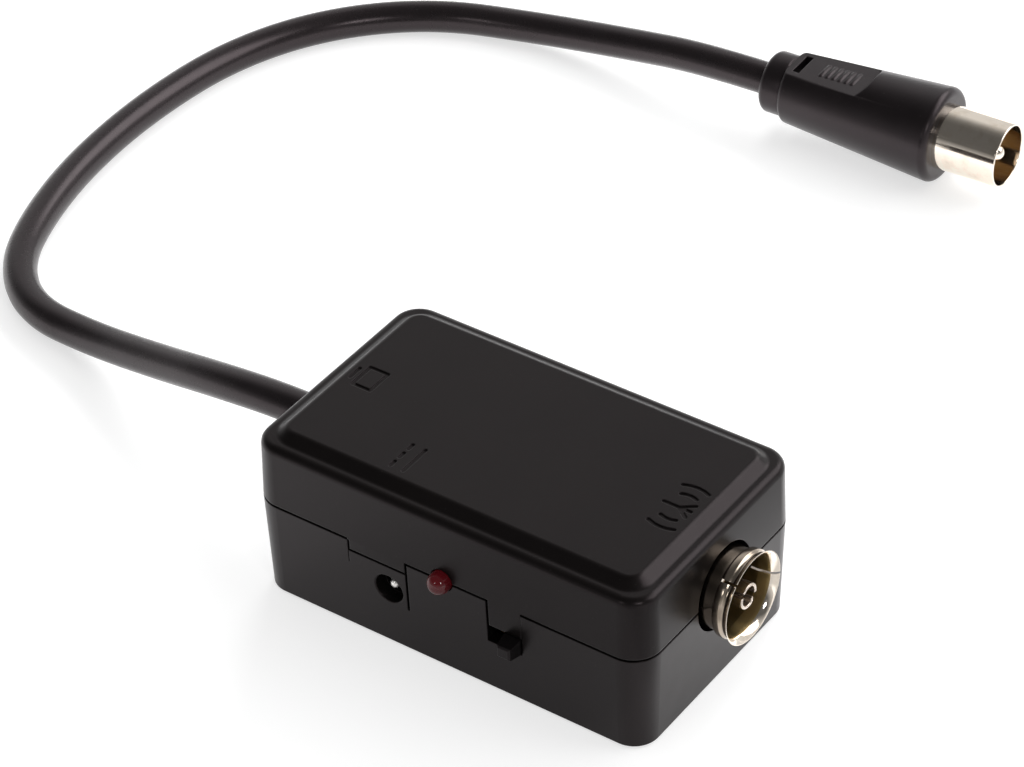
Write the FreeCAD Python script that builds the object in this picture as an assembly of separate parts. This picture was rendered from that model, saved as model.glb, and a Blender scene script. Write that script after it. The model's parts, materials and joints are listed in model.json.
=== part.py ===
import FreeCAD, Part
import math
import os

# In-line aerial amplifier: a small two-part moulded box with an aerial socket in one end, a power
# jack, a lamp and a slide switch in its long side, and a short lead with a moulded aerial plug.
# Millimetres. The origin is the centre of the box's underside. +X points to the aerial socket,
# -Y to the side with the jack, +Z up.

Vector = FreeCAD.Vector
X = Vector(1, 0, 0)
Y = Vector(0, 1, 0)
Z = Vector(0, 0, 1)

# Clearance round metal that is held in plastic
MOULD_FIT = 0.02

# Box
LENGTH = 58.0
WIDTH = 34.4
PARTING_HEIGHT = 14.5
RIM_HEIGHT = 23.5
PANEL_RISE = 1.1
CORNER_RADIUS = 3.9
WALL = 1.8
ROOF = 1.5
BASE_DRAFT = 0.5
TOP_DRAFT = 0.25
RIM_ROUNDING = 1.1
RIM_STEPS = 4
BASE_CHAMFER = 0.4
PANEL_FOOT_INSET = 1.8
PANEL_TOP_INSET = 3.2
PANEL_CORNER = 5.0
PANEL_HOLLOW_CORNER = 6.5
SEAM = 0.35
LIP_THICKNESS = 0.8
LIP_HEIGHT = 1.2
LIP_CLEARANCE = 0.06
LIP_RELIEF = 0.6

# Circuit board and the posts that carry it
BOARD_TOP = 4.3
BOARD_THICKNESS = 1.6
BOARD_MARGIN = 0.3
BOARD_CORNER = 2.0
POST_RADIUS = 2.0
PEG_RADIUS = 0.8
PEG_CLEARANCE = 0.05
PEG_HEIGHT = 0.8
POST_INSET = 5.5
LEG_REACH = 0.8
LEG_CLEARANCE = 0.05

# Power jack: a moulded block behind a round hole in the lower shell, under a tongue of the upper shell
JACK_LEFT = -14.15
JACK_RIGHT = -5.2
JACK_TONGUE_BOTTOM = 12.85
JACK_TOP_GAP = 0.2
JACK_SIDE_GAP = 0.35
JACK_SLIT_BOTTOM = 6.9
JACK_CRACK_WIDTH = 0.12
JACK_CRACK_DEPTH = 1.8
JACK_FIT = 0.05
JACK_CORNER = 2.0
JACK_DEPTH = 11.0
JACK_BORE_X = -8.25
JACK_BORE_Z = 9.05
JACK_HOLE_RADIUS = 2.05
JACK_LEAD_IN = 0.15
JACK_BORE_RADIUS = 1.75
JACK_BORE_DEPTH = 9.0
JACK_PIN_RADIUS = 0.7
JACK_PIN_RECESS = 0.9
JACK_SPRING_WIDTH = 2.2
JACK_SPRING_SHEET = 0.3

# Lamp on the parting line
LAMP_X = 0.0
LAMP_RADIUS = 1.5
LAMP_LENGTH = 5.3
LAMP_STAND_OUT = 2.0
LAMP_FLANGE_RADIUS = 1.9
LAMP_FLANGE_THICKNESS = 1.0
LAMP_CLEARANCE = 0.1
LAMP_LEG = 0.5
LAMP_LEG_PITCH = 2.54
LAMP_LEG_RUN = 2.6

# Slide switch and its slot
SLOT_LEFT = 6.45
SLOT_RIGHT = 11.55
SLOT_BOTTOM = 7.9
SLOT_TOP = 10.6
TONGUE_FIT = 0.04
TONGUE_SIDE_GAP = 0.35
KNOB_WIDTH = 2.35
KNOB_HEIGHT = 2.4
KNOB_TIP_WIDTH = 1.85
KNOB_TIP_HEIGHT = 1.7
KNOB_STAND_OUT = 2.0
KNOB_END_GAP = 0.15
KNOB_EDGE = 0.2
CAN_WIDTH = 8.3
CAN_HEIGHT = 5.5
CAN_DEPTH = 4.5
CAN_SHEET = 0.35
CAN_SETBACK = 0.15
CAN_LEG_WIDTH = 1.2
SLIDER_WIDTH = 4.6
SLIDER_HEIGHT = 3.4
SLIDER_THICKNESS = 1.2
SLIDER_GAP = 0.1
WIPER_SHEET = 0.25
WIPER_HEIGHT = 1.4
CONTACT_GAP = 0.06
SWITCH_PITCH = 2.5
SWITCH_LEAD_WIDTH = 0.8
SWITCH_LEAD_SHEET = 0.3

# Aerial socket in the +X end
SOCKET_Y = 0.6
SOCKET_BACK = 19.5
SOCKET_MOUTH = 33.0
SOCKET_BARREL_RADIUS = 5.3
SOCKET_SHEET = 0.35
SOCKET_LIP_RADIUS = 6.1
SOCKET_GROOVE_RADIUS = 5.55
SOCKET_BEAD_RADIUS = 5.8
SOCKET_GROOVE_BACK = 0.9
SOCKET_BEAD_BACK = 1.7
SOCKET_BEAD_START = 2.3
SOCKET_BEAD_FLAT = 0.3
SOCKET_LIP_LENGTH = 0.3
SOCKET_LIP_ROUNDING = 0.12
SOCKET_SLIT = 0.5
SOCKET_SLIT_LENGTH = 6.5
SOCKET_SLIT_ANGLE = -3.0
SOCKET_HOLE_CLEARANCE = 0.6
SOCKET_TAB_WIDTH = 2.4
CENTRE_RADIUS = 1.725
CENTRE_SHEET = 0.45
CENTRE_SETBACK = 0.6
CENTRE_LEAF_LENGTH = 6.5
CENTRE_CURL_RADIUS = 0.5
INSULATOR_THICKNESS = 3.6
INSULATOR_HUB_RADIUS = 2.9
INSULATOR_HUB_LENGTH = 2.2

# Lead and its stripped end inside the box
LEAD_RADIUS = 2.4
LEAD_HOLE_CLEARANCE = 0.1
LEAD_EXIT = 0.4
JACKET_END = 5.2
BRAID_END = 8.0
DIELECTRIC_END = 10.5
CORE_END = 13.0
JACKET_BORE = 1.75
BRAID_BORE = 1.47
CORE_RADIUS = 0.35
COAX_GAP = 0.02
CORE_BEND = 1.6
BRAID_TAIL_RADIUS = 0.5
TIE_THICKNESS = 1.1
TIE_WIDTH = 2.2
TIE_HEAD = 3.2

# Route of the lead between its straight first run, out of the box, and its last, into the plug
LEAD_FIRST_RUN = 7.1
LEAD_LAST_RUN = 11.2
LEAD_ROUTE = [
    (-48.0, 1.0, 12.4),
    (-62.0, 4.2, 7.6),
    (-75.8, 7.3, 3.4),
    (-88.0, 8.6, 2.4),
    (-96.6, 15.2, 2.4),
    (-101.5, 26.0, 2.4),
    (-104.9, 40.0, 2.4),
    (-105.9, 56.5, 2.4),
    (-104.0, 73.5, 2.4),
    (-97.0, 88.0, 2.4),
    (-85.0, 98.8, 2.4),
    (-69.5, 103.5, 2.7),
    (-54.0, 104.6, 4.8),
]

# Plug, described along its own axis from the back of the collar
PLUG_X = -29.3
PLUG_Y = 105.08
PLUG_HEADING = 2.5
COLLAR_RADIUS = 4.58
COLLAR_LENGTH = 3.5
COLLAR_EDGE = 0.8
BODY_REAR_RADIUS = 5.3
BODY_FRONT_RADIUS = 7.0
BODY_LENGTH = 24.8
BODY_EDGE = 0.65
SLEEVE_RADIUS = 4.75
SLEEVE_WALL = 0.4
SLEEVE_ROOT_RADIUS = 4.55
SLEEVE_NECK = 0.3
SLEEVE_STAND_OUT = 9.7
SLEEVE_SEAT = 6.3
PLUG_INSULATOR_LENGTH = 8.0
PLUG_PIN_RADIUS = 1.15
PLUG_PIN_RECESS = 0.7
PLUG_PIN_ROOT = 1.5
PIN_FLAT = 0.25
PAD_LENGTH = 13.3
PAD_REAR_HEIGHT = 4.3
PAD_FRONT_HEIGHT = 4.75
PAD_CORNER = 2.8
PAD_SLOT_BACK = 1.0
PAD_SLOT_LENGTH = 1.1
PAD_SLOT_WIDTH = 4.4
PAD_SLOT_DEPTH = 1.5
GRIP_RIBS = 6
GRIP_RIB_START = 4.9
GRIP_RIB_PITCH = 1.0
GRIP_RIB_THICKNESS = 0.4
GRIP_RIB_WIDTH = 3.2
GRIP_RIB_RISE = 0.25

# Small parts on the board
CHIP_LENGTH = 2.0
CHIP_WIDTH = 1.25
RESISTOR_THICKNESS = 0.55
CAPACITOR_THICKNESS = 0.95
CHIP_RESISTORS = [(-2.0, -4.0), (2.0, -4.0), (6.5, -2.0), (2.0, 4.0), (6.5, 3.0)]
CHIP_CAPACITORS = [(-6.0, -2.0), (14.5, 2.0), (-8.0, 8.0), (-10.0, 6.0)]
TRANSISTOR_X = 2.0
TRANSISTOR_Y = 0.0
TRANSISTOR_LENGTH = 2.9
TRANSISTOR_WIDTH = 1.6
TRANSISTOR_HEIGHT = 1.1
TRANSISTOR_SPAN = 2.8
REGULATOR_X = -2.0
REGULATOR_Y = 12.0
REGULATOR_LENGTH = 6.5
REGULATOR_WIDTH = 3.5
REGULATOR_HEIGHT = 1.7
ELECTROLYTIC_X = -19.0
ELECTROLYTIC_Y = 9.5
ELECTROLYTIC_RADIUS = 2.5
ELECTROLYTIC_HEIGHT = 7.0
ELECTROLYTIC_GROOVE = 0.25
FERRITE_X = 12.5
FERRITE_Y = 9.5
FERRITE_LENGTH = 6.0
FERRITE_WIDTH = 4.0
FERRITE_HEIGHT = 3.4
FERRITE_HOLE = 0.75
CHOKE_X = 6.0
CHOKE_Y = 8.8
CHOKE_RADIUS = 1.9
CHOKE_WAIST = 1.3
CHOKE_HEIGHT = 3.2
CHOKE_FLANGE = 0.6

# Sizes that follow from those above
HALF_LENGTH = LENGTH / 2
HALF_WIDTH = WIDTH / 2
TOP_HEIGHT = RIM_HEIGHT + PANEL_RISE
BOARD_BOTTOM = BOARD_TOP - BOARD_THICKNESS
LEG_END = BOARD_BOTTOM - LEG_REACH
FRONT_FACE = -HALF_WIDTH
FRONT_INSIDE = -HALF_WIDTH + WALL
LAMP_TIP = FRONT_FACE - LAMP_STAND_OUT
LAMP_BACK = LAMP_TIP + LAMP_LENGTH
LAMP_Z = PARTING_HEIGHT
SOCKET_Z = PARTING_HEIGHT
SOCKET_HOLE_RADIUS = SOCKET_BARREL_RADIUS + SOCKET_HOLE_CLEARANCE
LEAD_HOLE_RADIUS = LEAD_RADIUS + LEAD_HOLE_CLEARANCE
LEAD_START = -HALF_LENGTH - LEAD_EXIT
CAN_FRONT = FRONT_INSIDE + BASE_DRAFT + CAN_SETBACK
CAN_BACK = CAN_FRONT + CAN_DEPTH
CAN_CENTRE = (SLOT_LEFT + SLOT_RIGHT) / 2
CAN_MIDDLE = (SLOT_BOTTOM + SLOT_TOP) / 2
KNOB_CENTRE = SLOT_RIGHT - KNOB_END_GAP - KNOB_WIDTH / 2
SWITCH_TRAVEL = SLOT_RIGHT - SLOT_LEFT - KNOB_WIDTH - 2 * KNOB_END_GAP
BODY_END = COLLAR_LENGTH + BODY_LENGTH
PLUG_Z = BODY_FRONT_RADIUS
REACH = 200.0


def box(x0, x1, y0, y1, z0, z1):
    return Part.makeBox(x1 - x0, y1 - y0, z1 - z0, Vector(x0, y0, z0))


def rod(radius, start, direction, length):
    return Part.makeCylinder(radius, length, start, direction)


def corner_arcs(half_x, half_y, radius, z):
    """Start, middle and end of each rounded corner of a rectangle, flat at height z."""
    arcs = []
    for sx, sy, start in ((1, 1, 0), (-1, 1, 90), (-1, -1, 180), (1, -1, 270)):
        centre = Vector(sx * (half_x - radius), sy * (half_y - radius), z)
        turns = [math.radians(start + step) for step in (0, 45, 90)]
        arcs.append([centre + Vector(radius * math.cos(turn), radius * math.sin(turn), 0) for turn in turns])
    return arcs


def flat_cap(arcs):
    edges = []
    for index, arc in enumerate(arcs):
        edges.append(Part.Arc(*arc).toShape())
        edges.append(Part.makeLine(arc[2], arcs[(index + 1) % 4][0]))
    return Part.Face(Part.Wire(edges))


def drafted_block(z0, inset0, z1, inset1, corner=CORNER_RADIUS):
    """A block with the box's plan, drawn in by an inset at each height: flat sides and coned corners."""
    lower = corner_arcs(HALF_LENGTH - inset0, HALF_WIDTH - inset0, corner - inset0, z0)
    upper = corner_arcs(HALF_LENGTH - inset1, HALF_WIDTH - inset1, corner - inset1, z1)
    if abs(inset0 - inset1) < 1e-9:
        return flat_cap(lower).extrude(Vector(0, 0, z1 - z0))
    faces = [flat_cap(lower), flat_cap(upper)]
    centres = [(1, 1), (-1, 1), (-1, -1), (1, -1)]
    for index, (sx, sy) in enumerate(centres):
        following = (index + 1) % 4
        side = [lower[index][2], lower[following][0], upper[following][0], upper[index][2], lower[index][2]]
        faces.append(Part.Face(Part.makePolygon(side)))
        centre = Vector(sx * (HALF_LENGTH - corner), sy * (HALF_WIDTH - corner), z0)
        cone = Part.makeCone(corner - inset0, corner - inset1, z1 - z0, centre, Z, 90)
        cone.rotate(centre, Z, 90 * index)
        faces.extend(face for face in cone.Faces if face.Surface.TypeId == "Part::GeomCone")
    skin = Part.makeShell(faces)
    skin.sewShape()
    return Part.Solid(skin)


def lower_inset(z):
    return BASE_DRAFT * (1 - z / PARTING_HEIGHT)


def upper_inset(z):
    return TOP_DRAFT * (z - PARTING_HEIGHT) / (RIM_HEIGHT - PARTING_HEIGHT)


def lower_block(z0, z1, extra):
    return drafted_block(z0, lower_inset(z0) + extra, z1, lower_inset(z1) + extra)


def upper_block(z0, z1, extra):
    return drafted_block(z0, upper_inset(z0) + extra, z1, upper_inset(z1) + extra)


def revolved(points, axis_point, axis):
    """A solid turned from a closed list of points, in the plane of the list."""
    wire = Part.makePolygon(points + [points[0]])
    return Part.Face(wire).revolve(axis_point, axis, 360)


def placed_on_plug(shape):
    """Moves a piece drawn along +X from the collar's back to where the plug lies."""
    shape = shape.copy()
    shape.rotate(Vector(0, 0, 0), Z, PLUG_HEADING)
    shape.translate(Vector(PLUG_X, PLUG_Y, PLUG_Z))
    return shape


def save(name, shape):
    if not shape.isValid():
        print("not valid:", name)
    solids = shape.Solids
    volume = sum(solid.Volume for solid in solids)
    print("%-24s solids %d faces %3d volume %9.2f" % (name, len(solids), len(shape.Faces), volume))
    out = solids[0] if len(solids) == 1 else Part.makeCompound(solids)
    out.exportStep("parts/" + name + ".step")


os.makedirs("parts", exist_ok=True)

# Openings that both shells share on the parting line
lamp_opening = rod(LAMP_RADIUS + LAMP_CLEARANCE, Vector(LAMP_X, LAMP_TIP, LAMP_Z), Y, LAMP_LENGTH)
socket_opening = rod(SOCKET_HOLE_RADIUS, Vector(HALF_LENGTH - 2 * WALL, SOCKET_Y, SOCKET_Z), X, 4 * WALL)
lead_opening = rod(LEAD_HOLE_RADIUS, Vector(-HALF_LENGTH - WALL, 0, PARTING_HEIGHT), X, 4 * WALL)

# Lower shell: drafted tub with a lip round its edge
seam_bottom = PARTING_HEIGHT - SEAM / 2
lower_outer = drafted_block(0, lower_inset(0) + BASE_CHAMFER, BASE_CHAMFER, lower_inset(BASE_CHAMFER))
lower_outer = lower_outer.fuse(lower_block(BASE_CHAMFER, seam_bottom, 0))
lower_hollow = lower_block(WALL, seam_bottom, WALL)
lip_inset = WALL - LIP_THICKNESS
lip_top = PARTING_HEIGHT + LIP_HEIGHT
lip = drafted_block(seam_bottom, lip_inset, lip_top, lip_inset)
lip_hollow = drafted_block(seam_bottom, WALL, lip_top, WALL)
lower_shell = lower_outer.cut(lower_hollow).fuse(lip.cut(lip_hollow))


jack_top = JACK_TONGUE_BOTTOM - JACK_TOP_GAP
bore_start = Vector(JACK_BORE_X, FRONT_FACE - WALL, JACK_BORE_Z)
jack_hole = rod(JACK_HOLE_RADIUS, bore_start, Y, 3 * WALL)
lead_in = Part.makeCone(JACK_HOLE_RADIUS + JACK_LEAD_IN, JACK_HOLE_RADIUS, JACK_LEAD_IN,
                        Vector(JACK_BORE_X, FRONT_FACE + lower_inset(JACK_BORE_Z), JACK_BORE_Z), Y)
lead_in = lead_in.fuse(rod(JACK_HOLE_RADIUS + JACK_LEAD_IN, bore_start, Y, WALL + lower_inset(JACK_BORE_Z)))
jack_slit = box(JACK_RIGHT - JACK_SIDE_GAP, JACK_RIGHT, FRONT_FACE - WALL, FRONT_INSIDE + WALL,
                JACK_SLIT_BOTTOM, lip_top)
jack_crack = box(JACK_LEFT, JACK_LEFT + JACK_CRACK_WIDTH, FRONT_FACE - WALL, FRONT_INSIDE + WALL,
                 jack_top - JACK_CRACK_DEPTH, lip_top)
jack_tongue_notch = box(JACK_LEFT, JACK_RIGHT, FRONT_FACE - WALL, FRONT_INSIDE + WALL,
                        jack_top, lip_top + SEAM)
switch_notch = box(SLOT_LEFT, SLOT_RIGHT, FRONT_FACE - WALL, FRONT_INSIDE + WALL,
                   SLOT_BOTTOM, lip_top + SEAM)
lip_reliefs = [
    box(JACK_LEFT - LIP_RELIEF, JACK_RIGHT + LIP_RELIEF, FRONT_FACE, FRONT_INSIDE + SEAM,
        seam_bottom, lip_top + SEAM),
    box(SLOT_LEFT - LIP_RELIEF, SLOT_RIGHT + LIP_RELIEF, FRONT_FACE, FRONT_INSIDE + SEAM,
        seam_bottom, lip_top + SEAM),
    box(LAMP_X - LAMP_FLANGE_RADIUS - LIP_RELIEF, LAMP_X + LAMP_FLANGE_RADIUS + LIP_RELIEF,
        FRONT_FACE, FRONT_INSIDE + SEAM, seam_bottom, lip_top + SEAM),
    box(HALF_LENGTH - WALL - SEAM, HALF_LENGTH, SOCKET_Y - SOCKET_HOLE_RADIUS - LIP_RELIEF,
        SOCKET_Y + SOCKET_HOLE_RADIUS + LIP_RELIEF, seam_bottom, lip_top + SEAM),
    box(-HALF_LENGTH, -HALF_LENGTH + WALL + SEAM, -LEAD_HOLE_RADIUS - LIP_RELIEF,
        LEAD_HOLE_RADIUS + LIP_RELIEF, seam_bottom, lip_top + SEAM),
]
lower_cuts = [jack_hole, lead_in, jack_slit, jack_crack, jack_tongue_notch, switch_notch]
lower_cuts = lower_cuts + [lamp_opening, socket_opening, lead_opening] + lip_reliefs
for cutter in lower_cuts:
    lower_shell = lower_shell.cut(cutter)

# Four posts carry the board, and pegs on two of them, across the corners, locate it
post_x = HALF_LENGTH - POST_INSET
post_y = HALF_WIDTH - POST_INSET
post_centres = [(-post_x, -post_y), (post_x, -post_y), (post_x, post_y), (-post_x, post_y)]
peg_centres = [post_centres[0], post_centres[2]]
for px, py in post_centres:
    lower_shell = lower_shell.fuse(rod(POST_RADIUS, Vector(px, py, WALL / 2), Z, BOARD_BOTTOM - WALL / 2))
for px, py in peg_centres:
    lower_shell = lower_shell.fuse(rod(PEG_RADIUS, Vector(px, py, WALL / 2), Z,
                                       BOARD_TOP + PEG_HEIGHT - WALL / 2))
lower_shell = lower_shell.removeSplitter()

# Upper shell: drafted cap with a rounded rim, a raised panel and two tongues
seam_top = PARTING_HEIGHT + SEAM / 2
rim_start = RIM_HEIGHT - RIM_ROUNDING
upper_outer = upper_block(seam_top, rim_start, 0)
rim_turns = [math.pi / 2 * step / RIM_STEPS for step in range(RIM_STEPS + 1)]
rim_levels = [(rim_start + RIM_ROUNDING * math.sin(turn),
               upper_inset(rim_start) + RIM_ROUNDING * (1 - math.cos(turn))) for turn in rim_turns]
for (z0, inset0), (z1, inset1) in zip(rim_levels, rim_levels[1:]):
    upper_outer = upper_outer.fuse(drafted_block(z0, inset0, z1, inset1))
panel = drafted_block(RIM_HEIGHT, PANEL_FOOT_INSET, TOP_HEIGHT, PANEL_TOP_INSET, PANEL_CORNER)
roof_bottom = RIM_HEIGHT - ROOF
panel_hollow = drafted_block(roof_bottom - SEAM, PANEL_TOP_INSET, TOP_HEIGHT - ROOF,
                             PANEL_TOP_INSET + PANEL_RISE, PANEL_HOLLOW_CORNER)
upper_hollow = upper_block(seam_top, roof_bottom, WALL).fuse(panel_hollow)
rebate_inset = lip_inset - LIP_CLEARANCE
rebate = drafted_block(seam_top, rebate_inset, lip_top, rebate_inset)
upper_shell = upper_outer.fuse(panel).cut(upper_hollow).cut(rebate)
for cutter in (lamp_opening, socket_opening, lead_opening):
    upper_shell = upper_shell.cut(cutter)

# Each tongue continues the wall down with the lower shell's outer surface, and fills the rebate above
wall_below = lower_block(0, PARTING_HEIGHT, 0).cut(lower_block(0, PARTING_HEIGHT, WALL))
wall_above = upper_block(PARTING_HEIGHT, lip_top, 0).cut(upper_block(PARTING_HEIGHT, lip_top, WALL))
tongue_wall = wall_below.fuse(wall_above)
jack_tongue = tongue_wall.common(box(
    JACK_LEFT + TONGUE_FIT, JACK_RIGHT - TONGUE_SIDE_GAP, FRONT_FACE - WALL, FRONT_INSIDE + WALL,
    JACK_TONGUE_BOTTOM, lip_top))
switch_tongue = tongue_wall.common(box(
    SLOT_LEFT + TONGUE_SIDE_GAP, SLOT_RIGHT - TONGUE_FIT, FRONT_FACE - WALL, FRONT_INSIDE + WALL,
    SLOT_TOP, lip_top))
upper_shell = upper_shell.fuse(jack_tongue).fuse(switch_tongue).removeSplitter()

# Power jack: a block with rounded upper corners, its front against the inside of the wall
jack_back = FRONT_FACE + JACK_DEPTH
jack_body = box(JACK_LEFT + JACK_FIT, JACK_RIGHT - JACK_SIDE_GAP, FRONT_FACE, jack_back, BOARD_TOP, jack_top)
jack_edges = [edge for edge in jack_body.Edges
              if edge.BoundBox.YLength > JACK_DEPTH / 2 and abs(edge.BoundBox.ZMin - jack_top) < 0.01]
jack_body = jack_body.makeFillet(JACK_CORNER, jack_edges)
jack_body = jack_body.common(lower_block(BOARD_BOTTOM, PARTING_HEIGHT, WALL + JACK_FIT))
jack_body = jack_body.cut(rod(JACK_BORE_RADIUS, bore_start, Y, WALL + JACK_BORE_DEPTH))
spring_top = JACK_BORE_Z + JACK_BORE_RADIUS - JACK_SPRING_SHEET
spring_front = FRONT_FACE + 2 * WALL
spring_back = jack_back - LEG_CLEARANCE
spring_pocket = box(JACK_BORE_X - JACK_SPRING_WIDTH / 2 - LEG_CLEARANCE,
                    JACK_BORE_X + JACK_SPRING_WIDTH / 2 + LEG_CLEARANCE,
                    spring_front - JACK_SPRING_SHEET, jack_back + WALL,
                    spring_top - LEG_CLEARANCE, spring_top + 3 * JACK_SPRING_SHEET)
jack_body = jack_body.cut(spring_pocket)

# The jack's centre pin, with a rounded tip and a tail down to the board
pin_tip = FRONT_FACE + lower_inset(JACK_BORE_Z) + JACK_PIN_RECESS
pin_end = jack_back + 2 * JACK_PIN_RADIUS
pin_length = pin_end - pin_tip
pin_profile = [
    Vector(JACK_BORE_X, pin_tip, JACK_BORE_Z),
    Vector(JACK_BORE_X, pin_tip, JACK_BORE_Z + JACK_PIN_RADIUS * 0.6),
    Vector(JACK_BORE_X, pin_tip + JACK_PIN_RADIUS * 0.4, JACK_BORE_Z + JACK_PIN_RADIUS),
    Vector(JACK_BORE_X, pin_end, JACK_BORE_Z + JACK_PIN_RADIUS),
    Vector(JACK_BORE_X, pin_end, JACK_BORE_Z),
]
jack_pin = revolved(pin_profile, Vector(JACK_BORE_X, 0, JACK_BORE_Z), Y)
tail_width = 2 * JACK_PIN_RADIUS
jack_tail = box(JACK_BORE_X - tail_width / 2, JACK_BORE_X + tail_width / 2,
                jack_back + LEG_CLEARANCE, jack_back + LEG_CLEARANCE + JACK_SPRING_SHEET, LEG_END, JACK_BORE_Z)
jack_pin = jack_pin.fuse(jack_tail).removeSplitter()
bore_end = Vector(JACK_BORE_X, FRONT_FACE + JACK_BORE_DEPTH, JACK_BORE_Z)
jack_body = jack_body.cut(rod(JACK_PIN_RADIUS + MOULD_FIT, bore_end, Y, JACK_DEPTH))

# The jack's outer contact: a cranked strip along the top of the bore
strip = Part.makePolygon([
    Vector(0, spring_front, spring_top),
    Vector(0, spring_front + 2 * WALL, spring_top - JACK_SPRING_SHEET / 2 + LEG_CLEARANCE),
    Vector(0, spring_back, spring_top + JACK_SPRING_SHEET),
    Vector(0, spring_back, spring_top + 2 * JACK_SPRING_SHEET),
    Vector(0, spring_front + 2 * WALL, spring_top + JACK_SPRING_SHEET / 2 + LEG_CLEARANCE),
    Vector(0, spring_front, spring_top + JACK_SPRING_SHEET),
    Vector(0, spring_front, spring_top),
])
jack_spring = Part.Face(strip).extrude(Vector(JACK_SPRING_WIDTH, 0, 0))
jack_spring.translate(Vector(JACK_BORE_X - JACK_SPRING_WIDTH / 2, 0, 0))
jack_spring = jack_spring.cut(box(JACK_LEFT, JACK_RIGHT, spring_front, jack_back, 0,
                                  spring_top - LEG_CLEARANCE))

# The jack's two solder tails: one under the spring, one for its switched contact
jack_tail_left = JACK_LEFT + JACK_CORNER
jack_tails = []
jack_tails.append(box(JACK_BORE_X + tail_width, JACK_BORE_X + tail_width + SWITCH_LEAD_WIDTH,
                      jack_back + LEG_CLEARANCE, jack_back + LEG_CLEARANCE + JACK_SPRING_SHEET,
                      LEG_END, spring_top + 2 * JACK_SPRING_SHEET))
jack_tails.append(box(jack_tail_left, jack_tail_left + SWITCH_LEAD_WIDTH,
                      jack_back + LEG_CLEARANCE, jack_back + LEG_CLEARANCE + JACK_SPRING_SHEET,
                      LEG_END, spring_top + 2 * JACK_SPRING_SHEET))

# Indicator lamp: turned, with its dome in a few straight steps and a flange at its back
lamp_dome_start = LAMP_TIP + LAMP_RADIUS
lamp_flange_start = LAMP_BACK - LAMP_FLANGE_THICKNESS
lamp_profile = [(LAMP_TIP, 0)]
for turn in (80, 50, 25, 0):
    lamp_profile.append((lamp_dome_start - LAMP_RADIUS * math.sin(math.radians(turn)),
                         LAMP_RADIUS * math.cos(math.radians(turn))))
lamp_profile[0] = (lamp_profile[1][0], 0)
lamp_profile = lamp_profile + [
    (lamp_flange_start, LAMP_RADIUS),
    (lamp_flange_start, LAMP_FLANGE_RADIUS),
    (LAMP_BACK, LAMP_FLANGE_RADIUS),
    (LAMP_BACK, 0),
]
indicator_lamp = revolved([Vector(LAMP_X, y, LAMP_Z + r) for y, r in lamp_profile],
                          Vector(LAMP_X, 0, LAMP_Z), Y)
lamp_legs = []
leg_back = LAMP_BACK + LAMP_LEG_RUN
for side in (-1, 1):
    leg_x = LAMP_X + side * LAMP_LEG_PITCH / 2
    across = box(leg_x - LAMP_LEG / 2, leg_x + LAMP_LEG / 2, LAMP_BACK, leg_back,
                 LAMP_Z - LAMP_LEG / 2, LAMP_Z + LAMP_LEG / 2)
    down = box(leg_x - LAMP_LEG / 2, leg_x + LAMP_LEG / 2, leg_back - LAMP_LEG, leg_back,
               LEG_END, LAMP_Z + LAMP_LEG / 2)
    leg = across.fuse(down).removeSplitter()
    outer_edge = [edge for edge in leg.Edges
                  if edge.BoundBox.XLength > LAMP_LEG / 2
                  and abs(edge.BoundBox.YMin - leg_back) < 1e-6
                  and abs(edge.BoundBox.ZMin - LAMP_Z - LAMP_LEG / 2) < 1e-6]
    lamp_legs.append(leg.makeFillet(LAMP_LEG * 0.8, outer_edge))

# Slide switch: folded can, base, moving slider with its wiper, fixed contacts
can_left = CAN_CENTRE - CAN_WIDTH / 2
can_right = CAN_CENTRE + CAN_WIDTH / 2
can_bottom = CAN_MIDDLE - CAN_HEIGHT / 2
can_top = CAN_MIDDLE + CAN_HEIGHT / 2
switch_can = box(can_left, can_right, CAN_FRONT, CAN_BACK, can_bottom, can_top)
long_edges = [edge for edge in switch_can.Edges if edge.BoundBox.YLength > CAN_DEPTH / 2]
switch_can = switch_can.makeFillet(CAN_SHEET, long_edges)
switch_can = switch_can.cut(box(can_left + CAN_SHEET, can_right - CAN_SHEET, CAN_FRONT + CAN_SHEET,
                                CAN_BACK + CAN_SHEET, can_bottom + CAN_SHEET, can_top - CAN_SHEET))
window_gap = KNOB_END_GAP / 2
switch_can = switch_can.cut(box(SLOT_LEFT + window_gap, SLOT_RIGHT - window_gap, CAN_FRONT - CAN_SHEET,
                                CAN_FRONT + 2 * CAN_SHEET, SLOT_BOTTOM, SLOT_TOP))
for leg_x in (can_left, can_right - CAN_SHEET):
    switch_can = switch_can.fuse(box(leg_x, leg_x + CAN_SHEET, CAN_BACK - 2 * CAN_LEG_WIDTH,
                                     CAN_BACK - CAN_LEG_WIDTH, LEG_END, can_bottom + 2 * CAN_SHEET))
switch_can = switch_can.removeSplitter()

slider_front = CAN_FRONT + CAN_SHEET + SLIDER_GAP
slider_back = slider_front + SLIDER_THICKNESS
knob_tip = FRONT_FACE - KNOB_STAND_OUT
knob_left = KNOB_CENTRE - KNOB_WIDTH / 2
knob_right = KNOB_CENTRE + KNOB_WIDTH / 2
knob_bottom = CAN_MIDDLE - KNOB_HEIGHT / 2
knob_top = CAN_MIDDLE + KNOB_HEIGHT / 2
slider_plate = box(KNOB_CENTRE - SLIDER_WIDTH / 2, KNOB_CENTRE + SLIDER_WIDTH / 2, slider_front,
                   slider_back, CAN_MIDDLE - SLIDER_HEIGHT / 2, CAN_MIDDLE + SLIDER_HEIGHT / 2)
knob = Part.makeWedge(KNOB_CENTRE - KNOB_TIP_WIDTH / 2, knob_tip, CAN_MIDDLE - KNOB_TIP_HEIGHT / 2,
                      knob_bottom, knob_left,
                      KNOB_CENTRE + KNOB_TIP_WIDTH / 2, FRONT_FACE, CAN_MIDDLE + KNOB_TIP_HEIGHT / 2,
                      knob_top, knob_right)
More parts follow.
